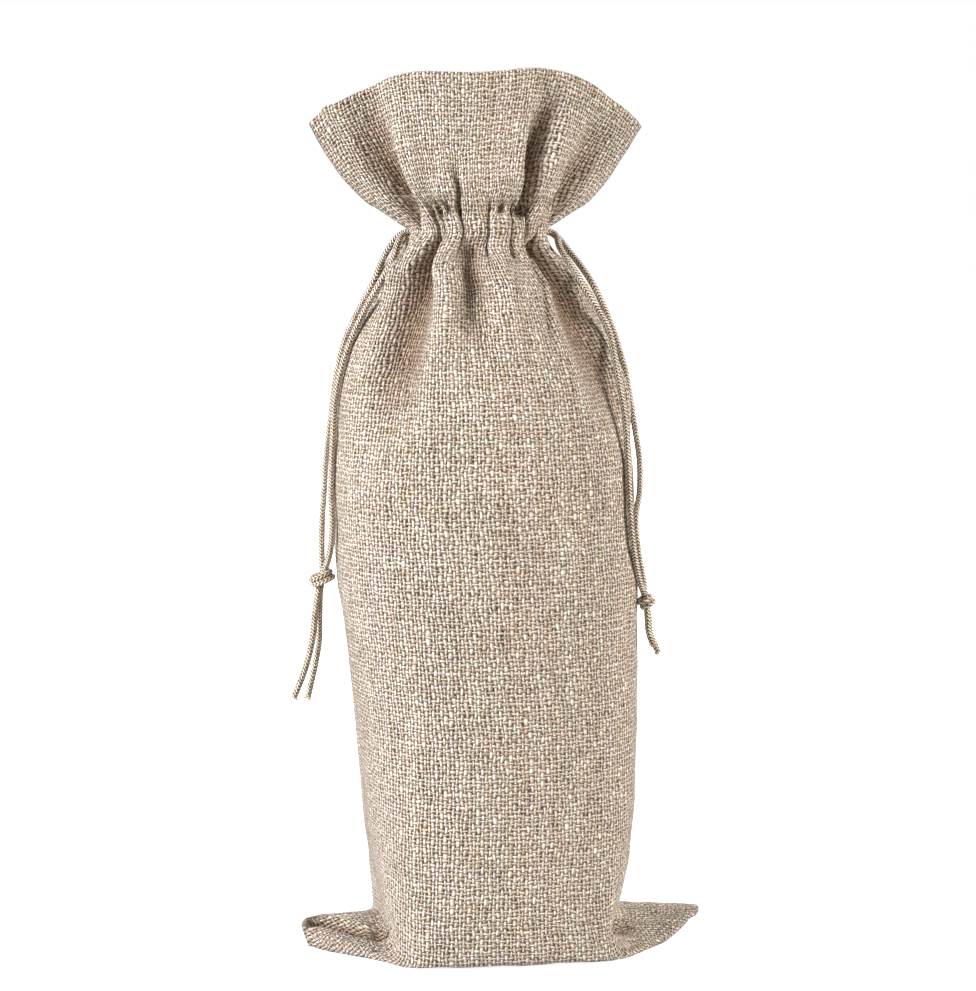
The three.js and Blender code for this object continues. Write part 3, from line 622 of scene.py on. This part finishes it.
def make_bag():
    """One closed sheet: the outer skin, the fold of the top edge, and the inner skin down to the bottom."""
    around, up, outer, painted_shade = make_skin(OUTER_ROWS, inner=False)
    around_in, up_in, inner, painted_shade_in = make_skin(INNER_ROWS, inner=True)
    rim = rim_rows(outer, inner)
    points = np.concatenate([outer, rim, inner])

    def repeat_last(rows):
        return np.repeat(rows[-1:], len(rim), axis=0)

    places_around, places_up = yarn_places(around, up, outer)
    inside = around_in[:, HALVES % COLUMNS] + np.where(HALVES == COLUMNS, GIRTH, 0)
    rim_up = np.repeat(RIM_UP + RIM_CLIMB * np.array(RIM_ANGLES, float)[:, None], len(HALVES), axis=1)
    places_around = np.concatenate([places_around, repeat_last(places_around), inside])
    places_up = np.concatenate([places_up, rim_up, up_in[:, HALVES % COLUMNS]])

    row, column = np.meshgrid(np.arange(len(points) - 1), np.arange(COLUMNS), indexing="ij")
    corners = [(row, column), (row, column + 1), (row + 1, column + 1), (row + 1, column)]
    faces = np.stack([r * COLUMNS + c % COLUMNS for r, c in corners], axis=-1).reshape(-1, 4)
    second = column >= COLUMNS // 2
    uv = [np.stack([places_around[r, c + second], places_up[r, c + second]], axis=-1) for r, c in corners]

    mesh = bpy.data.meshes.new("bag")
    mesh.from_pydata((points.reshape(-1, 3) * MM).tolist(), [], faces.tolist())
    layer = mesh.uv_layers.new(name="cloth_mm")
    layer.data.foreach_set("uv", np.stack(uv, axis=2).astype(np.float32).ravel())
    all_around = np.concatenate([around, repeat_last(around), around_in])
    from_seam = np.abs(np.mod(all_around, GIRTH / 2) - GIRTH / 4)
    # The painted shade of the hollows, none on the top edge.
    painted_shade = np.concatenate([painted_shade, np.zeros((len(rim), COLUMNS)), painted_shade_in])
    for name, values in (("painted_shade", painted_shade), ("from_seam", from_seam)):
        layer = mesh.attributes.new(name, "FLOAT", "POINT")
        layer.data.foreach_set("value", values.ravel().astype(np.float32))
    mesh.polygons.foreach_set("use_smooth", [True] * len(mesh.polygons))
    mesh.update()
    close_fold(mesh)
    return add_object("bag", mesh)


FOLD_GAP = 0.02  # points of the front and the back that lie closer than this are joined


def close_fold(mesh):
    """Joins the front and the back where they meet in the bottom fold, outside and inside."""
    work = bmesh.new()
    work.from_mesh(mesh)
    verts = list(work.verts)
    for fold in (verts[:COLUMNS], verts[-COLUMNS:]):
        bmesh.ops.remove_doubles(work, verts=fold, dist=FOLD_GAP * MM)
    work.to_mesh(mesh)
    work.free()


# ---------- drawstrings

CORD = 2.1
CORD_STEP = 0.3  # between the points of a path
CURVE_STEPS = 24  # from one point of a route to the next
ASIDE = (0.3, 0.9, 0.2)  # a direction in which no cord starts

# A strand starts inside the gathers' ridge and comes out past it, beside its other half.
EXIT_INSIDE = 4
EXIT_CLEAR = 1.2
EXIT_APART = 1.4
INSIDE_Z = 241.5
EXIT_Z = 240.5

# Each strand and each tail runs through the points listed. A knot's shape is its half width, its half
# depth, and the degrees that it tilts.
LEFT = {
    "side": -1,
    "knot": (-60.4, 5, 125),
    "knot_shape": (3.3, 2.9, 26),
    "strands": [
        [(-35.7, -6.1, 237.5), (-38, -9.4, 232.2), (-42.4, -12, 225), (-47.5, -8.6, 215), (-51.8, -6.4, 205),
         (-55, -5.4, 195), (-56.7, -2.6, 184), (-57.5, -4.4, 174), (-58, -4.2, 164), (-58.2, -3.8, 154),
         (-57.9, -4.2, 144), (-58.3, 0.4, 134)],
        [(-36.7, -1.6, 237.6), (-40, -2.8, 232.6), (-43.9, -7, 225), (-48.5, -2.4, 215), (-52.3, 3, 205),
         (-55.1, 2, 195), (-56.6, 2.4, 185), (-57.8, 4.1, 175), (-58.6, 7, 165), (-59.2, 7, 155),
         (-60, 6.6, 145), (-60.3, 6, 134)],
    ],
    "tails": [
        [(-61.9, 4.6, 119.5), (-63, 4.6, 112), (-63.9, 4.6, 104), (-66.6, 4, 94), (-70.4, 3, 85)],
        [(-60.9, 6.4, 119.5), (-61, 7.4, 112), (-61.2, 8, 103), (-62.3, 8.2, 96), (-65.1, 8, 84)],
    ],
}
RIGHT = {
    "side": 1,
    "knot": (46.7, -16.8, 117.2),
    "knot_shape": (1.9, 2.9, 34),
    "strands": [
        [(23.5, -4, 233.4), (28.6, -9.4, 225), (34, -8.2, 215), (37.6, -9.2, 205), (40.2, -11.2, 195),
         (41.9, -12, 185), (43.7, -12, 175), (45, -13, 165), (44.4, -16, 155), (41.8, -21.2, 145.6),
         (42.8, -20.6, 135.4), (45.2, -17.8, 126)],
        [(18.4, -9.6, 235.4), (22.6, -15.8, 227), (26.9, -18.8, 219), (33, -17.8, 209), (35, -22.3, 194),
         (37.4, -23.9, 179), (38.1, -25.2, 163), (38.8, -26.2, 147), (40, -25.2, 137.6),
         (43.2, -20.8, 125.6)],
    ],
    "tails": [
        [(48, -15.6, 111.4), (48.8, -14.6, 106), (50.6, -14.2, 101.8), (51.7, -14, 99.3)],
        [(47, -17.6, 111.4), (47.4, -17.8, 107), (48.8, -17.6, 103)],
    ],
}


def smooth_path(route, step):
    """A centripetal curve through the route's points, resampled to even steps."""
    points = np.array(route, float)
    points = np.concatenate([[2 * points[0] - points[1]], points, [2 * points[-1] - points[-2]]])
    fine = []
    for k in range(1, len(points) - 2):
        near = points[k - 1:k + 3]
        p0, p1, p2, p3 = near
        t = running(np.sqrt(np.linalg.norm(np.diff(near, axis=0), axis=1)))
        for s in np.linspace(t[1], t[2], CURVE_STEPS, endpoint=False):
            a1 = mix(p0, p1, (s - t[0]) / (t[1] - t[0]))
            a2 = mix(p1, p2, (s - t[1]) / (t[2] - t[1]))
            a3 = mix(p2, p3, (s - t[2]) / (t[3] - t[2]))
            b1 = mix(a1, a2, (s - t[0]) / (t[2] - t[0]))
            b2 = mix(a2, a3, (s - t[1]) / (t[3] - t[1]))
            fine.append(mix(b1, b2, (s - t[1]) / (t[2] - t[1])))
    fine = np.array(fine + [points[-2]])
    run = run_along(fine)
    places = np.linspace(0, run[-1], max(2, round(run[-1] / step)) + 1)
    return np.stack([np.interp(places, run, fine[:, k]) for k in range(3)], axis=-1)


def frames_along(path):
    """Tangents and two steady cross directions along a path."""
    tangent = np.gradient(path, axis=0)
    tangent /= lengths(tangent)
    first = np.cross(tangent[0], ASIDE)
    first /= np.linalg.norm(first)
    sides = [first]
    for t in tangent[1:]:
        side = sides[-1] - t * np.dot(sides[-1], t)
        sides.append(side / np.linalg.norm(side))
    sides = np.array(sides)
    return tangent, sides, np.cross(tangent, sides)


CORD_SIDES = 18
FIBRE_SIDES = 5
WALES = 6  # columns of stitches round a cord
STITCH = 1.15  # the length of one
WALE_RELIEF = 0.07  # how far a wale stands out
FIBRE_TAPER = 0.7  # how much thinner a loose fibre is at its end
FIBRE_PLACE = (0.5, STITCH / 5)  # one place in the braid, so that a fibre has one shade


def tube(path, radius, braided=True):
    """A cord or a loose fibre along a path, with a low cone on each end.

    It returns the points, the faces, and the place in the braid, as (wale, run), of each face's corners.
    """
    sides = CORD_SIDES if braided else FIBRE_SIDES
    tangent, side, other = frames_along(path)
    run = run_along(path)
    angle, gone = np.meshgrid(np.linspace(0, 2 * math.pi, sides, endpoint=False), run)
    if braided:
        reach = radius + WALE_RELIEF * np.cos(WALES * angle)
    else:
        reach = radius * (1 - FIBRE_TAPER * gone / run[-1])
    rings = path[:, None] + reach[..., None] * (
        np.cos(angle)[..., None] * side[:, None] + np.sin(angle)[..., None] * other[:, None]
    )
    cap = radius / 3
    ends = [path[:1] - tangent[:1] * cap, path[-1:] + tangent[-1:] * cap]
    points = np.concatenate([rings.reshape(-1, 3), *ends])
    faces, places = [], []
    last = len(path) - 1
    tip = len(path) * sides
    for c in range(sides):
        d = (c + 1) % sides
        u, v = WALES * c / sides, WALES * (c + 1) / sides
        for k in range(last):
            faces.append((k * sides + c, k * sides + d, (k + 1) * sides + d, (k + 1) * sides + c))
            places += [(u, run[k]), (v, run[k]), (v, run[k + 1]), (u, run[k + 1])]
        faces.append((tip, d, c))
        faces.append((tip + 1, last * sides + c, last * sides + d))
        places += [(u, 0), (v, 0), (u, 0), (u, run[-1]), (u, run[-1]), (v, run[-1])]
    if not braided:
        places = [FIBRE_PLACE] * len(places)
    return points, faces, places


def cord_piece(name, tubes, node, material):
    """One object out of several tubes, which stands in for a drawstring's node."""
    points, faces, places = [], [], []
    before = 0
    for tube_points, tube_faces, tube_places in tubes:
        points.append(tube_points)
        faces += [tuple(before + k for k in face) for face in tube_faces]
        places += tube_places
        before += len(tube_points)
    mesh = bpy.data.meshes.new(name)
    mesh.from_pydata((np.concatenate(points) * MM).tolist(), [], faces)
    mesh.polygons.foreach_set("use_smooth", [True] * len(mesh.polygons))
    layer = mesh.uv_layers.new(name="braid")
    layer.data.foreach_set("uv", np.array(places, np.float32).ravel())
    mesh.update()
    mesh.materials.append(material)
    piece = add_object(name, mesh)
    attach(piece, "root")
    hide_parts(node)
    return piece


KNOT_RIGHT = np.array([0.983, -0.186, 0])  # the knots face the camera
KNOT_NEAR = np.array([-0.186, -0.983, 0])
KNOT_UP = np.array([0, 0, 1])
WRAP_NEAREST = 90  # degrees round a knot
WRAP_DEGREES = range(-145, 326, 6)  # from behind, over the front, and behind again
TUCK = (150, 85)  # how far from the nearest point the wrap's ends start to go in, and over how much
TUCK_IN = 0.55
TUCK_CLOSER = 0.4
WRAP_BESIDE = 0.98  # half the distance between the wrap's two cords
WRAP_BEFORE = 0.12  # half of how far one lies before the other
WRAP_CLIMB = 0.36  # in half a turn, at the knot's sides


def knot_tubes(centre, half_width, half_depth, tilt):
    """A doubled cord wound once round the strands, tilted, with its ends tucked in behind."""
    lean = math.radians(tilt)
    along = KNOT_RIGHT * math.cos(lean) + KNOT_UP * math.sin(lean)
    normal = KNOT_UP * math.cos(lean) - KNOT_RIGHT * math.sin(lean)
    tubes = []
    for beside in (-1, 1):
        path = []
        for degrees in WRAP_DEGREES:
            turn = math.radians(degrees)
            gone = degrees - WRAP_NEAREST
            tuck = eased_from(*TUCK, abs(gone))
            reach = 1 - TUCK_IN * tuck
            up = beside * WRAP_BESIDE * (1 - TUCK_CLOSER * tuck)
            up += WRAP_CLIMB * gone / 180 * abs(math.cos(turn))
            path.append(
                np.array(centre)
                + along * half_width * reach * math.cos(turn)
                + KNOT_NEAR * (half_depth + WRAP_BEFORE * beside) * reach * math.sin(turn)
                + normal * up
            )
        tubes.append(tube(smooth_path(path, CORD_STEP), CORD / 2))
    return tubes


FRAY_FIBRES = 16
FRAY_SEED = 7
FRAY_RADIUS = 0.34
FRAY_STEP = 0.35
FRAY_LENGTHS = (1.0, 2.2)
FRAY_ROOT = {"inside": 0.8, "aside": 0.9}  # where a fibre starts in the cord
FRAY_SPREAD = {"usual": 0.5, "most": 0.72}  # how far out it goes for each millimetre ahead
FRAY_BEND = {"usual": 0.25, "most": 0.3}


def fray_tubes(paths, rng):
    """Loose fibres at the cut ends of the tails."""
    tubes = []
    for path in paths:
        end = path[-1]
        ahead = path[-1] - path[-5]
        ahead /= np.linalg.norm(ahead)
        for _ in range(FRAY_FIBRES):
            spread = rng.normal(0, FRAY_SPREAD["usual"], 3)
            spread -= ahead * spread.dot(ahead)
            spread *= min(1, FRAY_SPREAD["most"] / np.linalg.norm(spread))
            length = rng.uniform(*FRAY_LENGTHS)
            root = end - ahead * FRAY_ROOT["inside"] + spread * FRAY_ROOT["aside"]
            bend = np.clip(rng.normal(0, FRAY_BEND["usual"], 3), -FRAY_BEND["most"], FRAY_BEND["most"])
            halfway = root + (ahead + spread * 0.5) * length / 2
            route = [root, halfway, root + (ahead + spread + bend) * length]
            tubes.append(tube(smooth_path(route, FRAY_STEP), FRAY_RADIUS, braided=False))
    return tubes


def strand_routes(drawstring):
    """For each half of a drawstring: out of the side opening, down to the knot, and out of it as a tail."""
    side = drawstring["side"]
    routes = []
    for half, strand, tail in zip((1, -1), drawstring["strands"], drawstring["tails"]):
        y = half * side * EXIT_APART
        inside = (NECK_X + side * (NECK_RIDGE - EXIT_INSIDE), y, INSIDE_Z)
        out = (NECK_X + side * (NECK_RIDGE + EXIT_CLEAR), y, EXIT_Z)
        routes.append([inside, out, *strand, drawstring["knot"], *tail])
    return routes


def make_drawstring(name, drawstring, material):
    node = f"drawstring_{name}"
    paths = [smooth_path(route, CORD_STEP) for route in strand_routes(drawstring)]
    wrap = knot_tubes(drawstring["knot"], *drawstring["knot_shape"])
    knot = cord_piece(f"{name}_knot", wrap, node, material)
    frays = cord_piece(f"{name}_frays", fray_tubes(paths, np.random.default_rng(FRAY_SEED)), node, material)
    for i, path in enumerate(paths):
        cord = cord_piece(f"{name}_cord_{i + 1}", [tube(path, CORD / 2)], node, material)


# ---------- materials


class Graph:
    """The node tree of a material or a world, written as expressions."""

    def __init__(self, owner):
        self.owner = owner
        owner.use_nodes = True
        self.tree = owner.node_tree
        self.tree.nodes.clear()

    def node(self, kind, inputs=None, **settings):
        made = self.tree.nodes.new(kind)
        for key, value in settings.items():
            setattr(made, key, value)
        for key, value in (inputs or {}).items():
            if isinstance(value, bpy.types.NodeSocket):
                self.tree.links.new(value, made.inputs[key])
            else:
                made.inputs[key].default_value = value
        return made

    def math(self, operation, *values):
        return self.node("ShaderNodeMath", dict(enumerate(values)), operation=operation).outputs[0]

    def add(self, a, b):
        return self.math("ADD", a, b)

    def sub(self, a, b):
        return self.math("SUBTRACT", a, b)

    def mul(self, a, b):
        return self.math("MULTIPLY", a, b)

    def ramp(self, value, low, high, to_low=0.0, to_high=1.0):
        inputs = {"Value": value, "From Min": low, "From Max": high, "To Min": to_low, "To Max": to_high}
        return self.node("ShaderNodeMapRange", inputs).outputs[0]

    def dome(self, x):
        """1 in the middle, and 0 from -1 and 1 outwards."""
        return self.math("MAXIMUM", self.sub(1.0, self.math("POWER", x, 2.0)), 0.0)

    def vector(self, x, y, z=0.0):
        return self.node("ShaderNodeCombineXYZ", {"X": x, "Y": y, "Z": z}).outputs[0]

    def noise(self, vector, scale, detail, rough=0.5):
        inputs = {"Vector": vector, "Scale": scale, "Detail": detail, "Roughness": rough}
        return self.node("ShaderNodeTexNoise", inputs).outputs["Fac"]

    def white(self, x, y):
        made = self.node("ShaderNodeTexWhiteNoise", {"Vector": self.vector(x, y)}, noise_dimensions="2D")
        return made.outputs["Value"]

    def color_ramp(self, value, stops):
        made = self.node("ShaderNodeValToRGB", {"Fac": value})
        ramp = made.color_ramp
        while len(ramp.elements) < len(stops):
            ramp.elements.new(0.5)
        for element, (place, color) in zip(ramp.elements, stops):
            element.position = place
            element.color = (*color, 1)
        return made.outputs["Color"]

    def blend(self, share, a, b, blend_type="MIX"):
        colors = {6: a, 7: b}
        inputs = {key: (*c, 1) if isinstance(c, tuple) else c for key, c in colors.items()}
        made = self.node("ShaderNodeMix", {0: share, **inputs}, data_type="RGBA", blend_type=blend_type)
        return made.outputs[2]

    def shaded(self, color, shade):
        """A colour times a grey."""
        return self.blend(1.0, color, self.vector(shade, shade, shade), "MULTIPLY")

    def uv(self, name):
        place = self.node("ShaderNodeUVMap", uv_map=name).outputs["UV"]
        split = self.node("ShaderNodeSeparateXYZ", {"Vector": place})
        return split.outputs["X"], split.outputs["Y"]

    def rough(self, color, height, relief, **settings):
        """A rough surface with its relief, which is in millimetres."""
        bump = self.node("ShaderNodeBump", {"Height": height, "Distance": relief * MM, "Strength": 1.0})
        inputs = {"Base Color": color, "Normal": bump.outputs[0], **settings}
        return self.finished(self.node("ShaderNodeBsdfPrincipled", inputs))

    def finished(self, surface, output="ShaderNodeOutputMaterial"):
        self.node(output, {"Surface": surface.outputs[0]})
        return self.owner


WARP_PITCH = GIRTH / 216
WEFT_PITCH = 1.48

# The two sets of yarns, in shares of their pitch: half width, how far they rise and fall, how round they
# stand, and how far off the middle their painted highlight lies. The warp is the lighter one.
WARP = {"seed": 0.0, "width": 0.39, "crimp": 0.18, "radius": 0.34, "glint": -0.3, "tone": 1.05}
WEFT = {"seed": 50.0, "width": 0.26, "crimp": 0.22, "radius": 0.24, "glint": 0.3, "tone": 0.95}
NO_YARN = 3.0  # how far the height drops beside a yarn
HOLE_BELOW = -0.5  # a lower height than this is a hole between the yarns
FLOOR_OF_HOLES = -0.30
CLOTH_TINTS = [
    (0.0, (0.56, 0.39, 0.26)), (0.14, (0.76, 0.60, 0.46)), (0.28, (0.86, 0.74, 0.60)),
    (0.40, (0.80, 0.60, 0.51)), (0.52, (0.74, 0.64, 0.55)), (0.64, (0.90, 0.79, 0.64)),
    (0.76, (0.76, 0.68, 0.50)), (0.88, (0.72, 0.54, 0.39)), (1.0, (0.92, 0.82, 0.69)),
]
# The colour that the painted shade in the hollows multiplies in.
PAINTED_SHADE_TINT = (0.62, 0.51, 0.42)
SEAM_COLOR = (0.22, 0.15, 0.10)
WEAVE_RELIEF = 1.1


def cloth_material():
    """A plain weave of slubby, unevenly dyed yarns."""
    g = Graph(bpy.data.materials.new("burlap"))
    around, up = g.uv("cloth_mm")

    # Yarns wander a little off their lines.
    wander_x = g.mul(g.sub(g.noise(g.vector(g.mul(around, 0.35), g.mul(up, 0.14)), 1, 1), 0.5), 2.0)
    wander_y = g.mul(g.sub(g.noise(g.vector(g.mul(around, 0.14), g.mul(up, 0.35), 7.0), 1, 1), 0.5), 2.0)
    u = g.mul(g.add(around, wander_x), 1 / WARP_PITCH)
    v = g.mul(g.add(up, wander_y), 1 / WEFT_PITCH)
    i = g.math("FLOOR", u)
    j = g.math("FLOOR", v)
    across = g.sub(g.math("FRACT", u), 0.5)
    along = g.sub(g.math("FRACT", v), 0.5)
    over = g.math("COSINE", g.mul(g.add(i, j), math.pi))

    def yarn(index, off, lie, sign, place, seed, width, crimp, radius, glint, tone):
        """Height and shade of one set of yarns: slubby, wandering, going over and under the other set. The
        shade holds painted light: a highlight line, a lighter rounded top, and darker dives.
        """
        slub = g.noise(g.vector(g.add(g.mul(index, 3.7), seed), g.mul(place, 0.13)), 1, 1)
        drift = g.noise(g.vector(g.add(g.mul(index, 5.3), seed), g.mul(place, 0.45), 9.0), 1, 0)
        half = g.mul(g.ramp(slub, 0.3, 0.7, 0.8, 1.15), width)
        off = g.add(off, g.mul(g.sub(drift, 0.5), 0.42))
        full = g.dome(g.math("DIVIDE", off, half))
        shape = g.math("SQRT", full)
        uneven = g.noise(g.vector(g.add(g.mul(index, 2.9), seed), g.mul(place, 0.8), 4.0), 1, 1)
        above = g.mul(g.mul(g.math("COSINE", g.mul(lie, math.pi)), over), sign)
        centre = g.mul(above, g.ramp(uneven, 0.25, 0.75, crimp * 0.5, crimp * 1.4))
        there = g.math("GREATER_THAN", shape, 0.001)
        height = g.sub(g.add(centre, g.mul(shape, radius)), g.mul(g.sub(1.0, there), NO_YARN))
        # Painted light: shade where the yarn dives under the other set, a highlight line off its middle, and
        # its rounded top lighter.
        dive_shade = g.ramp(above, -0.7, 0.3, 0.30, 1.0)
        painted_highlight = g.dome(g.math("DIVIDE", g.sub(off, g.mul(half, glint)), g.mul(half, 0.62)))
        bright = g.add(g.mul(full, 0.20), g.mul(painted_highlight, g.ramp(uneven, 0.3, 0.7, 0.22, 0.64)))
        return height, g.mul(g.mul(g.add(bright, 0.395), dive_shade), tone)

    warp, warp_shade = yarn(i, across, along, 1, v, **WARP)
    weft, weft_shade = yarn(j, along, across, -1, u, **WEFT)
    is_warp = g.math("GREATER_THAN", warp, weft)
    top = g.math("MAXIMUM", warp, weft)
    height = g.math("MAXIMUM", top, FLOOR_OF_HOLES)
    hole = g.math("LESS_THAN", top, HOLE_BELOW)
    shade = g.add(g.mul(warp_shade, is_warp), g.mul(weft_shade, g.sub(1.0, is_warp)))
    chance = g.white(g.add(i, 31.0), g.add(j, 17.0))
    # Painted shade: the holes between the yarns are darkened, each by a random amount.
    shade = g.mul(shade, g.sub(1.0, g.mul(hole, g.ramp(chance, 0.0, 1.0, 0.55, 0.92))))
    shade = g.mul(shade, g.ramp(chance, 0.0, 1.0, 1.1, 0.86))

    # Fibres run along each yarn.
    warp_fibre = g.noise(g.vector(g.mul(around, 7.0), g.mul(up, 1.1)), 1, 2, 0.7)
    weft_fibre = g.noise(g.vector(g.mul(around, 1.1), g.mul(up, 7.0), 3.0), 1, 2, 0.7)
    fibre = g.add(g.mul(warp_fibre, is_warp), g.mul(weft_fibre, g.sub(1.0, is_warp)))

    def tinted(index, place, seed):
        """Each yarn has its own tint, which changes slowly along it."""
        own = g.white(index, seed)
        patch = g.noise(g.vector(g.add(g.mul(index, 7.7), seed), g.mul(place, 0.35), seed), 1, 1)
        return g.color_ramp(g.math("FRACT", g.add(own, g.mul(patch, 1.2))), CLOTH_TINTS)

    # A darker shade is a warmer one.
    tint = g.blend(is_warp, tinted(j, u, 5.0), tinted(i, v, 3.0))
    warm_shade = g.vector(shade, g.math("POWER", shade, 1.08), g.math("POWER", shade, 1.18))
    color = g.blend(1.0, tint, warm_shade, "MULTIPLY")
    color = g.shaded(color, g.ramp(fibre, 0.3, 0.7, 0.80, 1.15))
    blotch = g.noise(g.vector(g.mul(around, 0.045), g.mul(up, 0.03)), 1, 2)
    color = g.shaded(color, g.ramp(blotch, 0.3, 0.7, 0.93, 1.05))

    # Painted shade: the hollows of the folds and creases are made browner, standing in for the shade that
    # falls in them.
    painted_shade = g.node("ShaderNodeAttribute", attribute_name="painted_shade").outputs["Fac"]
    color = g.blend(g.ramp(painted_shade, 0.1, 0.85), color, g.blend(1.0, color, PAINTED_SHADE_TINT, "MULTIPLY"))

    # The side seams: a tight line of stitches drawn down into the cloth.
    from_seam = g.node("ShaderNodeAttribute", attribute_name="from_seam").outputs["Fac"]
    seam = g.ramp(from_seam, 0.25, 0.8, 1.0, 0.0)
    color = g.blend(g.mul(seam, 0.6), color, SEAM_COLOR)

    full_height = g.sub(g.add(height, g.mul(fibre, 0.10)), g.mul(seam, 0.5))
    return g.rough(color, full_height, WEAVE_RELIEF, **{
        "Roughness": 0.92, "Specular IOR Level": 0.2, "Sheen Weight": 0.15, "Sheen Roughness": 0.6,
    })


BRAID_TINTS = [(0.3, (0.86, 0.72, 0.56)), (0.5, (0.96, 0.87, 0.73)), (0.7, (1.0, 0.95, 0.84))]
# Painted shade by how far a stitch stands out: dark in the grooves between stitches, light on their tops.
BRAID_PAINTED_SHADE = [
    (0.0, (0.09, 0.055, 0.033)), (0.33, (0.25, 0.17, 0.11)), (0.52, (0.89, 0.81, 0.72)),
    (0.9, (1.0, 0.98, 0.94)),
]
BRAID_RELIEF = 0.45


def cord_material():
    """A round braid: columns of stitches, with painted shade between them and a painted lighter top on each.
    """
    g = Graph(bpy.data.materials.new("braid"))
    wale, run = g.uv("braid")

    # A chain of stitches up each wale, leaning to either side by turns.
    column = g.math("FLOOR", wale)
    across = g.sub(g.math("FRACT", wale), 0.5)
    lean = g.math("COSINE", g.mul(column, math.pi))
    phase = g.add(g.mul(run, 1 / STITCH), g.mul(lean, g.mul(across, 0.9)))
    stitch = g.math("POWER", g.math("ABSOLUTE", g.math("SINE", g.mul(phase, math.pi))), 1.3)
    round_top = g.math("SQRT", g.sub(1.0, g.math("POWER", g.mul(across, 1.9), 2.0)))
    stands = g.mul(stitch, round_top)
    uneven = g.white(g.math("FLOOR", g.add(phase, 0.5)), column)

    place = g.node("ShaderNodeTexCoord").outputs["Object"]
    fibre = g.noise(place, 2600, 2, 0.7)
    tint = g.color_ramp(g.noise(place, 260, 2), BRAID_TINTS)
    # Painted shade from the stitches' relief.
    shade = g.color_ramp(stands, BRAID_PAINTED_SHADE)
    color = g.shaded(g.blend(1.0, tint, shade, "MULTIPLY"), g.ramp(uneven, 0.0, 1.0, 0.8, 1.1))
    height = g.add(stands, g.mul(fibre, 0.25))
    return g.rough(color, height, BRAID_RELIEF, **{
        "Roughness": 0.85, "Specular IOR Level": 0.25, "Sheen Weight": 0.15,
    })


# ---------- stage and light

WHITE = (1, 1, 1, 1)
FLOOR_HALF = 4  # metres
FLOOR_DROP = 0.2  # how far it lies below the bag
FLOOR_GREY = (0.5, 0.5, 0.5, 1)
FLOOR_GLOW = (0.12, 0.4, 0.86, 1.0)  # from and to, in metres from the bag, and the strength at each
WORLD_TINT = (1.0, 0.99, 0.98, 1)
WORLD_LIGHT = 0.12
LAMPS_AIM = (0, 0, 0.15)

# Each lamp: its place and its size in metres, its watts, its colour.
LAMPS = {
    "key": ((-1.9, -0.8, 0.95), 1.0, 92, (0.96, 1.0, 1.07)),
    "right": ((1.85, -0.85, 0.75), 1.0, 60, (1.0, 1.0, 1.0)),
    "back": ((0.5, 2.1, 0.9), 1.2, 60, (1.0, 1.0, 1.0)),
}


def floor_material():
    """Matte grey that also glows to the camera, so that it looks white but for the bag's shadow."""
    g = Graph(bpy.data.materials.new("floor"))
    seen = g.node("ShaderNodeLightPath").outputs["Is Camera Ray"]
    place = g.node("ShaderNodeTexCoord").outputs["Object"]
    from_bag = g.node("ShaderNodeVectorMath", {0: place}, operation="LENGTH").outputs["Value"]
    strength = g.ramp(from_bag, *FLOOR_GLOW)
    glow = g.node("ShaderNodeEmission", {"Color": WHITE, "Strength": strength})
    matte = g.node("ShaderNodeBsdfDiffuse", {"Color": FLOOR_GREY})
    lifted = g.node("ShaderNodeAddShader", {0: glow.outputs[0], 1: matte.outputs[0]})
    both = g.node("ShaderNodeMixShader", {"Fac": seen, 1: matte.outputs[0], 2: lifted.outputs[0]})
    return g.finished(both)


def add_floor():
    corners = [(x * FLOOR_HALF, y * FLOOR_HALF, 0) for x, y in ((-1, -1), (1, -1), (1, 1), (-1, 1))]
    mesh = bpy.data.meshes.new("floor")
    mesh.from_pydata(corners, [], [(0, 1, 2, 3)])
    mesh.materials.append(floor_material())
    floor = add_object("floor", mesh)
    floor.location.z = -FLOOR_DROP * MM


def add_world():
    """White to the camera, and a weak even light on everything else."""
    g = Graph(bpy.data.worlds.new("studio"))
    seen = g.node("ShaderNodeLightPath").outputs["Is Camera Ray"]
    lit = g.node("ShaderNodeBackground", {"Color": WORLD_TINT, "Strength": WORLD_LIGHT})
    shown = g.node("ShaderNodeBackground", {"Color": WHITE, "Strength": 1.0})
    both = g.node("ShaderNodeMixShader", {"Fac": seen, 1: lit.outputs[0], 2: shown.outputs[0]})
    bpy.context.scene.world = g.finished(both, "ShaderNodeOutputWorld")


def add_lamp(name, at, size, power, color):
    data = bpy.data.lights.new(name, "AREA")
    data.shape = "SQUARE"
    data.size = size
    data.energy = power
    data.color = color
    lamp = add_object(name, data)
    lamp.location = at
    lamp.rotation_euler = (Vector(LAMPS_AIM) - Vector(at)).to_track_quat("-Z", "Y").to_euler()


# ---------- build

add_camera()

bag = make_bag()
bag.data.materials.append(cloth_material())
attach(bag, "root")
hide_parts("bag_cloth")

braid = cord_material()
make_drawstring("left", LEFT, braid)
make_drawstring("right", RIGHT, braid)

add_floor()
add_world()
for name, settings in LAMPS.items():
    add_lamp(name, *settings)
bpy.context.scene.view_settings.view_transform = "Standard"
bpy.context.scene.view_settings.look = "None"
